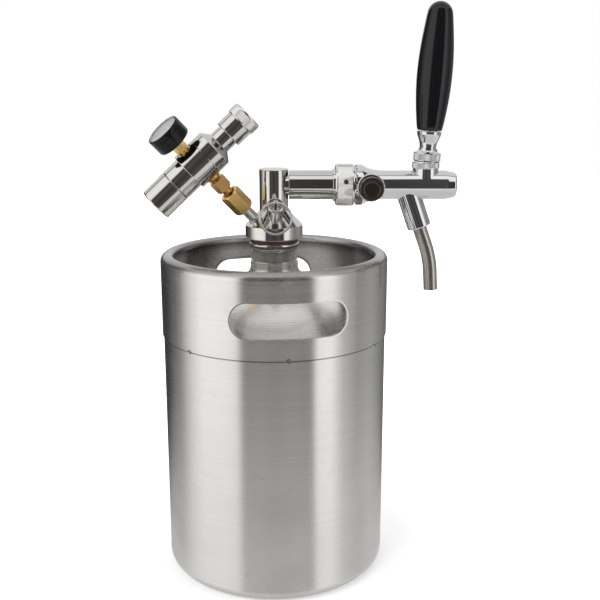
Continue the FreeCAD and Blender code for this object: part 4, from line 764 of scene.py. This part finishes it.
class MINIKEG_OT_handle(bpy.types.Operator):
    """Gloss tap handle, turned with soft shoulders"""
    bl_idname = "minikeg.handle"
    bl_label = "Tap handle"

    def execute(self, context):
        foot, tip, crown_r = 31.0, 122.4, 9.25
        side = [(8.3, 0), (8.9, 0.25), (9.3, 1.1), (9.9, 4.5), (10.8, 11), (11.6, 17.5), (12.25, 25),
                (12.7, 32.5), (12.88, 40), (12.8, 48), (12.4, 56), (11.7, 64), (10.8, 71.5), (9.95, 78),
                (9.45, 81.8)]
        side = [(2.0, foot)] + [(r, foot + up) for r, up in side]
        crown = arc((0, tip - crown_r), crown_r, 3, 85, 8) + [(0, tip)]
        handle = lathe("tap_handle_gloss", side + crown, 48)
        body = handle.modifiers.new("soft", "SUBSURF")
        body.levels = body.render_levels = 1
        apply_modifiers(handle)
        seat(handle, joint("lever_tilt")[1], lever_line())
        smooth(handle, 50)
        plastic = gloss_plastic("handle plastic", colours().handle, 0.08, 0.15, 0.25)
        hand_over(handle, "lever", "handle_black", plastic, "tap_handle")
        return {"FINISHED"}


class MINIKEG_OT_flow_knob(bpy.types.Operator):
    """Flow knob with a rolled rim and a dished face"""
    bl_idname = "minikeg.flow_knob"
    bl_label = "Flow knob"

    def execute(self, context):
        axis, place = joint("flow_knob_turn")
        skirt = [(1.9, 16.05), (7.9, 16.05), (8.25, 16.4), (8.55, 17.6), (8.75, 19.4)]
        rim = arc((7.3, 24.1), 1.46, 0, 90, 6) + arc((7.0, 24.9), 0.66, 85, 180, 4)
        dish = [(6.2, 24.75), (4.4, 24.35), (2.2, 24.15), (0, 24.1)]
        knob = lathe("flow_knob_gloss", skirt + rim + dish, 96)
        seat(knob, place, axis)
        smooth(knob, 40)
        plastic = gloss_plastic("knob plastic", colours().knob, 0.05, 0.12, 0.5)
        hand_over(knob, "flow_control", "knob_black", plastic, "flow_knob")
        return {"FINISHED"}


class MINIKEG_OT_pull_ring(bpy.types.Operator):
    """Split pull ring: one wire wound twice, hanging from the relief stem"""
    bl_idname = "minikeg.pull_ring"
    bl_label = "Pull ring"

    def execute(self, context):
        axis, place = joint("ring_swing")
        gap = sizes().ring_gap
        wire_r, ring_r, wound, steps = 0.75, 11.4, 700, 150
        fresh_start()
        bpy.ops.mesh.primitive_circle_add(vertices=12, radius=wire_r * MM, fill_type="NGON",
                                          rotation=(math.pi / 2, 0, 0), location=(ring_r * MM, 0, -gap / 2))
        wire = named("split_pull_ring")
        bpy.ops.object.transform_apply(location=True, rotation=True, scale=True)
        wind = wire.modifiers.new("wind", "SCREW")
        wind.angle = math.radians(wound)
        wind.screw_offset = gap
        wind.steps = wind.render_steps = steps
        wind.use_merge_vertices = True
        apply_modifiers(wire)
        bpy.ops.object.mode_set(mode="EDIT")
        tidy()
        bpy.ops.object.mode_set(mode="OBJECT")
        down = Vector((0, 0, -1))
        seat(wire, place + down * ring_r * MM, axis.cross(down), down)
        smooth(wire, 50)
        steel = turned_steel("ring wire", colours().spring, 0.3, 0.38)
        hand_over(wire, "ring", "steel_polished", steel, "pull_ring")
        return {"FINISHED"}


SCALE_START = 135       # degrees, where the gauge's zero stands
SCALE_SWEEP = 270
FULL_SCALE = 6


class MINIKEG_OT_gauge(bpy.types.Operator):
    """Gauge: crimped case, dial with ticks and plain numbers, and its pointer"""
    bl_idname = "minikeg.gauge"
    bl_label = "Pressure gauge"

    def execute(self, context):
        inward, root = joint("needle_turn")
        outward, upward = -inward, joint("regulator_travel")[0]
        ink = dial_ink()
        pan = [(3.0, 22.8), (11.3, 22.8), (12.3, 23.1), (12.85, 23.7), (12.95, 24.4), (12.95, 31.6)]
        crimp = [(12.7, 31.8), (12.7, 32.1), (12.98, 32.3)]
        bezel = [(12.98, 35.1), (12.85, 35.5), (12.5, 35.75), (12.1, 35.78), (11.8, 35.6), (11.7, 35.2)]
        hollow = [(11.7, 34.6), (11.1, 34.6), (11.1, 24.1), (3.0, 24.1), (3.0, 22.8)]
        case = lathe("crimped_gauge_case", pan + crimp + bezel + hollow, 128)
        seat(case, root, outward, upward)
        smooth(case, 40)
        hand_over(case, "head", "gauge_black", painted_case(), "gauge_case")
        disc = [(0.9, 31.75), (11.05, 31.75), (11.05, 32.12), (10.95, 32.2), (0.95, 32.2), (0.9, 32.15)]
        face = lathe("gauge_face", disc + disc[:1], 128)
        seat(face, root, outward, upward)
        smooth(face, 40)
        hand_over(face, "head", "dial_white", dial_enamel(), "gauge_dial")
        long_tick = sizes().tick
        marks = [self.ticks("long_ticks", long_tick, 0.00036, FULL_SCALE),
                 self.ticks("short_ticks", long_tick * 0.55, 0.0002, FULL_SCALE * 5)]
        marks += [self.figure(number) for number in range(FULL_SCALE + 1)]
        dial = join(marks)
        named("gauge_marks")
        seat(dial, root, outward, upward)
        hand_over(dial, "head", "gauge_black", ink)
        hub = [(0.5, 30.0), (0.5, 32.8), (1.5, 32.8), (1.5, 33.1), (1.1, 33.35), (0, 33.35)]
        pointer = join([self.blade(), lathe("pointer_hub", hub, 48)])
        named("gauge_pointer")
        seat(pointer, root, outward, upward)
        smooth(pointer, 30)
        hand_over(pointer, "needle", "gauge_black", ink, "gauge_needle")
        return {"FINISHED"}

    def ticks(self, name, long, wide, steps):
        """A row of raised ticks from zero round to full scale."""
        outer_r, face_at, thick = 10.4, 32.21, 0.03
        fresh_start()
        bpy.ops.mesh.primitive_plane_add(size=1)
        tick = named(name)
        tick.scale = (long, wide, 1)
        bpy.ops.object.transform_apply(scale=True)
        bpy.ops.object.mode_set(mode="EDIT")
        bpy.ops.mesh.select_all(action="SELECT")
        bpy.ops.transform.translate(value=(outer_r * MM - long / 2, 0, face_at * MM))
        bpy.ops.mesh.extrude_region_move(TRANSFORM_OT_translate={"value": (0, 0, thick * MM)})
        bpy.ops.mesh.select_all(action="SELECT")
        bpy.ops.mesh.normals_make_consistent(inside=False)
        bpy.ops.mesh.spin(steps=steps, angle=-math.radians(SCALE_SWEEP), center=(0, 0, 0), axis=(0, 0, 1),
                          dupli=True)
        bpy.ops.object.mode_set(mode="OBJECT")
        tick.matrix_world = Matrix.Rotation(math.radians(SCALE_START), 4, "Z")
        bpy.ops.object.transform_apply(rotation=True)
        return tick

    def figure(self, number):
        """One plain number of the scale."""
        turn = math.radians(SCALE_START - SCALE_SWEEP / FULL_SCALE * number)
        circle_r, face_at = 6.9, 32.225
        fresh_start()
        bpy.ops.object.text_add()
        figure = named(f"figure_{number}")
        figure.data.body = str(number)
        figure.data.size = sizes().figure
        figure.data.align_x, figure.data.align_y = "CENTER", "CENTER"
        figure.data.extrude = 0.015 * MM
        figure.data.resolution_u = 3
        bpy.ops.object.convert(target="MESH")
        figure = bpy.context.object
        spot = Vector((circle_r * math.cos(turn), circle_r * math.sin(turn), face_at)) * MM
        figure.matrix_world = Matrix.Translation(spot) @ Matrix.Rotation(-math.pi / 2, 4, "Z")
        bpy.ops.object.transform_apply(location=True, rotation=True)
        return figure

    def blade(self):
        """Tapered pointer blade, at zero."""
        tail, tip, wide, thick, height = -3.0, 8.8, 1.1, 0.3, 33.0
        fresh_start()
        bpy.ops.mesh.primitive_cube_add(size=1, location=((tail + tip) / 2 * MM, 0, height * MM))
        blade = named("pointer_blade")
        blade.scale = ((tip - tail) * MM, wide * MM, thick * MM)
        bpy.ops.object.transform_apply(location=True, scale=True)
        bpy.ops.object.mode_set(mode="EDIT")
        pick(blade, "faces", lambda f: f.normal.x > 0.9)
        bpy.ops.transform.resize(value=(1, 0.2, 0.6), center_override=(tip * MM, 0, height * MM))
        bpy.ops.object.mode_set(mode="OBJECT")
        blade.matrix_world = Matrix.Rotation(math.radians(SCALE_START), 4, "Z")
        bpy.ops.object.transform_apply(rotation=True)
        round_edges(blade, 0.05)
        return blade


# ---- stage ----

CAMERA_PLACE = (0.019599, -0.678607, 0.371152)
CAMERA_TILT = 76.521    # degrees from straight down
CAMERA_LENS = 54.35
SENSOR_WIDTH = 36
SOFTBOXES = (           # name, place, width, power
    ("key_softbox", (-1.1, -1.2, 1.5), 1.2, 22),
    ("fill_softbox", (1.4, -0.9, 1.1), 1.2, 9),
    ("top_softbox", (0.1, 0.5, 1.9), 1.4, 12),
)
SIDE_PANELS = (         # azimuth in degrees, 0 in front of the keg and + towards the tap, and brightness
    (-180, 0.06), (-150, 0.03), (-135, 0.04), (-109, 0.14), (-90, 0.70), (-76, 0.97), (-52, 0.97),
    (-37, 0.88), (-30, 0.04), (-14, 0.08), (2, 0.04), (20, 0.08), (39, 0.03), (44, 0.95), (60, 1.0),
    (73, 0.42), (93, 0.19), (114, 0.30), (140, 0.2), (165, 0.08), (180, 0.06),
)


def studio_world():
    """White to the eye and through glass; metal sees two side panels, an overhead softbox, a pale
    table and a dark room in front."""
    world = bpy.data.worlds.new("studio")
    bpy.context.scene.world = world
    t = Tree(world)
    way = t.node("ShaderNodeTexCoord", out="Generated")
    parts = t.node("ShaderNodeSeparateXYZ", {}, {0: way})
    x, y, z = (Wire(t, parts.socket.node.outputs[i]) for i in range(3))
    azimuth = t.node("ShaderNodeMath", {"operation": "ARCTAN2"}, {0: x, 1: 0 - y}) / (2 * math.pi) + 0.5
    stops = [((turn + 180) / 360, level) for turn, level in SIDE_PANELS]
    ramp = t.node("ShaderNodeValToRGB", {"stops": stops}, {0: azimuth})
    around = 1.15 * t.node("ShaderNodeRGBToBW", {}, {0: ramp})
    rise = z + 0.92 * y
    room = t.spread(rise, 0.87, 0.85)
    strip = t.spread(z + 0.3 * y, 0.58, 0.62) * room
    roof = t.spread(rise, 0.925, 0.95)
    studio = around * (1 - strip) * room + 1.05 * strip + 0.76 * roof
    below = t.spread(z, -0.45, -0.37)
    studio = studio * below + (1 - below) * t.spread(z, -0.75, -0.45, 0.66, 0.84)
    ray = t.node("ShaderNodeLightPath")
    path = {name: Wire(t, ray.socket.node.outputs[name]) for name in
            ("Is Camera Ray", "Is Glossy Ray", "Is Transmission Ray")}
    seen = t.spread(path["Is Camera Ray"] + path["Is Transmission Ray"], 0.0, 1.0)
    glossy = path["Is Glossy Ray"]
    level = seen + (1 - seen) * (glossy * studio + (1 - glossy) * 0.42)
    sky = t.node("ShaderNodeBackground", {}, {"Color": (1, 1, 1, 1), "Strength": level})
    t.node("ShaderNodeOutputWorld", {}, {"Surface": sky})


def floor_finish():
    """Pale matt table top that turns white to the eye away from the keg."""
    material = bpy.data.materials.new("pale table")
    t = Tree(material)
    here = t.place()
    grain = t.noise(here, 60, 3.0)
    distance = t.node("ShaderNodeVectorMath", {"operation": "LENGTH"}, {0: here}, out="Value")
    away = t.spread(distance, 0.11, 0.34)
    pale = t.mix(grain, (0.80, 0.80, 0.80, 1), (0.82, 0.82, 0.82, 1))
    top = t.node("ShaderNodeBsdfDiffuse", {}, {"Color": pale})
    eye = t.node("ShaderNodeLightPath", out="Is Camera Ray")
    lift = t.node("ShaderNodeEmission", {}, {"Color": (1, 1, 1, 1), "Strength": eye * (0.34 + 0.7 * away)})
    both = t.node("ShaderNodeAddShader", {}, {0: top, 1: lift})
    t.node("ShaderNodeOutputMaterial", {}, {"Surface": both})
    return material


def soft_lamp(name, place, width, power):
    """A square softbox aimed at the keg, which lights without showing in the metal."""
    middle = Vector((0, 0, 0.2))
    fresh_start()
    bpy.ops.object.light_add(type="AREA", location=place)
    lamp = named(name)
    lamp.data.size = width
    lamp.data.energy = power
    lamp.rotation_euler = (middle - Vector(place)).to_track_quat("-Z", "Y").to_euler()
    lamp.visible_glossy = False


class MINIKEG_OT_stage(bpy.types.Operator):
    """Table, studio light and camera"""
    bl_idname = "minikeg.stage"
    bl_label = "Stage"

    def execute(self, context):
        fresh_start()
        bpy.ops.mesh.primitive_plane_add(size=sizes().table, location=(0, 0, CAD_BOX[0].z))
        table = named("table_top")
        bpy.ops.object.transform_apply(location=True)
        table.data.materials.append(floor_finish())
        table.visible_glossy = False
        studio_world()
        for softbox in SOFTBOXES:
            soft_lamp(*softbox)
        bpy.ops.object.camera_add(location=CAMERA_PLACE, rotation=(math.radians(CAMERA_TILT), 0, 0))
        camera = bpy.context.object
        camera.data.sensor_width = SENSOR_WIDTH
        camera.data.lens = CAMERA_LENS
        context.scene.camera = camera
        context.scene.view_settings.view_transform = "Standard"
        return {"FINISHED"}


class MINIKEG_PT_sidebar(bpy.types.Panel):
    """Colours, sizes and one button for each group of pieces"""
    bl_idname = "MINIKEG_PT_sidebar"
    bl_label = "Mini keg"
    bl_space_type = "VIEW_3D"
    bl_region_type = "UI"
    bl_category = "Mini Keg"

    def draw(self, context):
        layout = self.layout
        for group in (context.scene.mini_keg_colours, context.scene.mini_keg_sizes):
            box = layout.box()
            for key in group.__annotations__:
                box.prop(group, key)
        for operator in STEPS:
            layout.operator(operator.bl_idname)


STEPS = (MINIKEG_OT_finishes, MINIKEG_OT_collar_nut, MINIKEG_OT_lever_rings, MINIKEG_OT_inlet_grip,
         MINIKEG_OT_handle, MINIKEG_OT_flow_knob, MINIKEG_OT_pull_ring, MINIKEG_OT_gauge, MINIKEG_OT_stage)
CLASSES = (MiniKegColours, MiniKegSizes, *STEPS, MINIKEG_PT_sidebar)


def register():
    for made in CLASSES:
        bpy.utils.register_class(made)
    bpy.types.Scene.mini_keg_colours = bpy.props.PointerProperty(type=MiniKegColours)
    bpy.types.Scene.mini_keg_sizes = bpy.props.PointerProperty(type=MiniKegSizes)


def unregister():
    del bpy.types.Scene.mini_keg_colours
    del bpy.types.Scene.mini_keg_sizes
    for made in reversed(CLASSES):
        bpy.utils.unregister_class(made)


def main():
    register()
    bpy.ops.minikeg.finishes()
    bpy.ops.minikeg.collar_nut()
    bpy.ops.minikeg.lever_rings()
    bpy.ops.minikeg.inlet_grip()
    bpy.ops.minikeg.handle()
    bpy.ops.minikeg.flow_knob()
    bpy.ops.minikeg.pull_ring()
    bpy.ops.minikeg.gauge()
    bpy.ops.minikeg.stage()


if __name__ == "__main__":
    main()
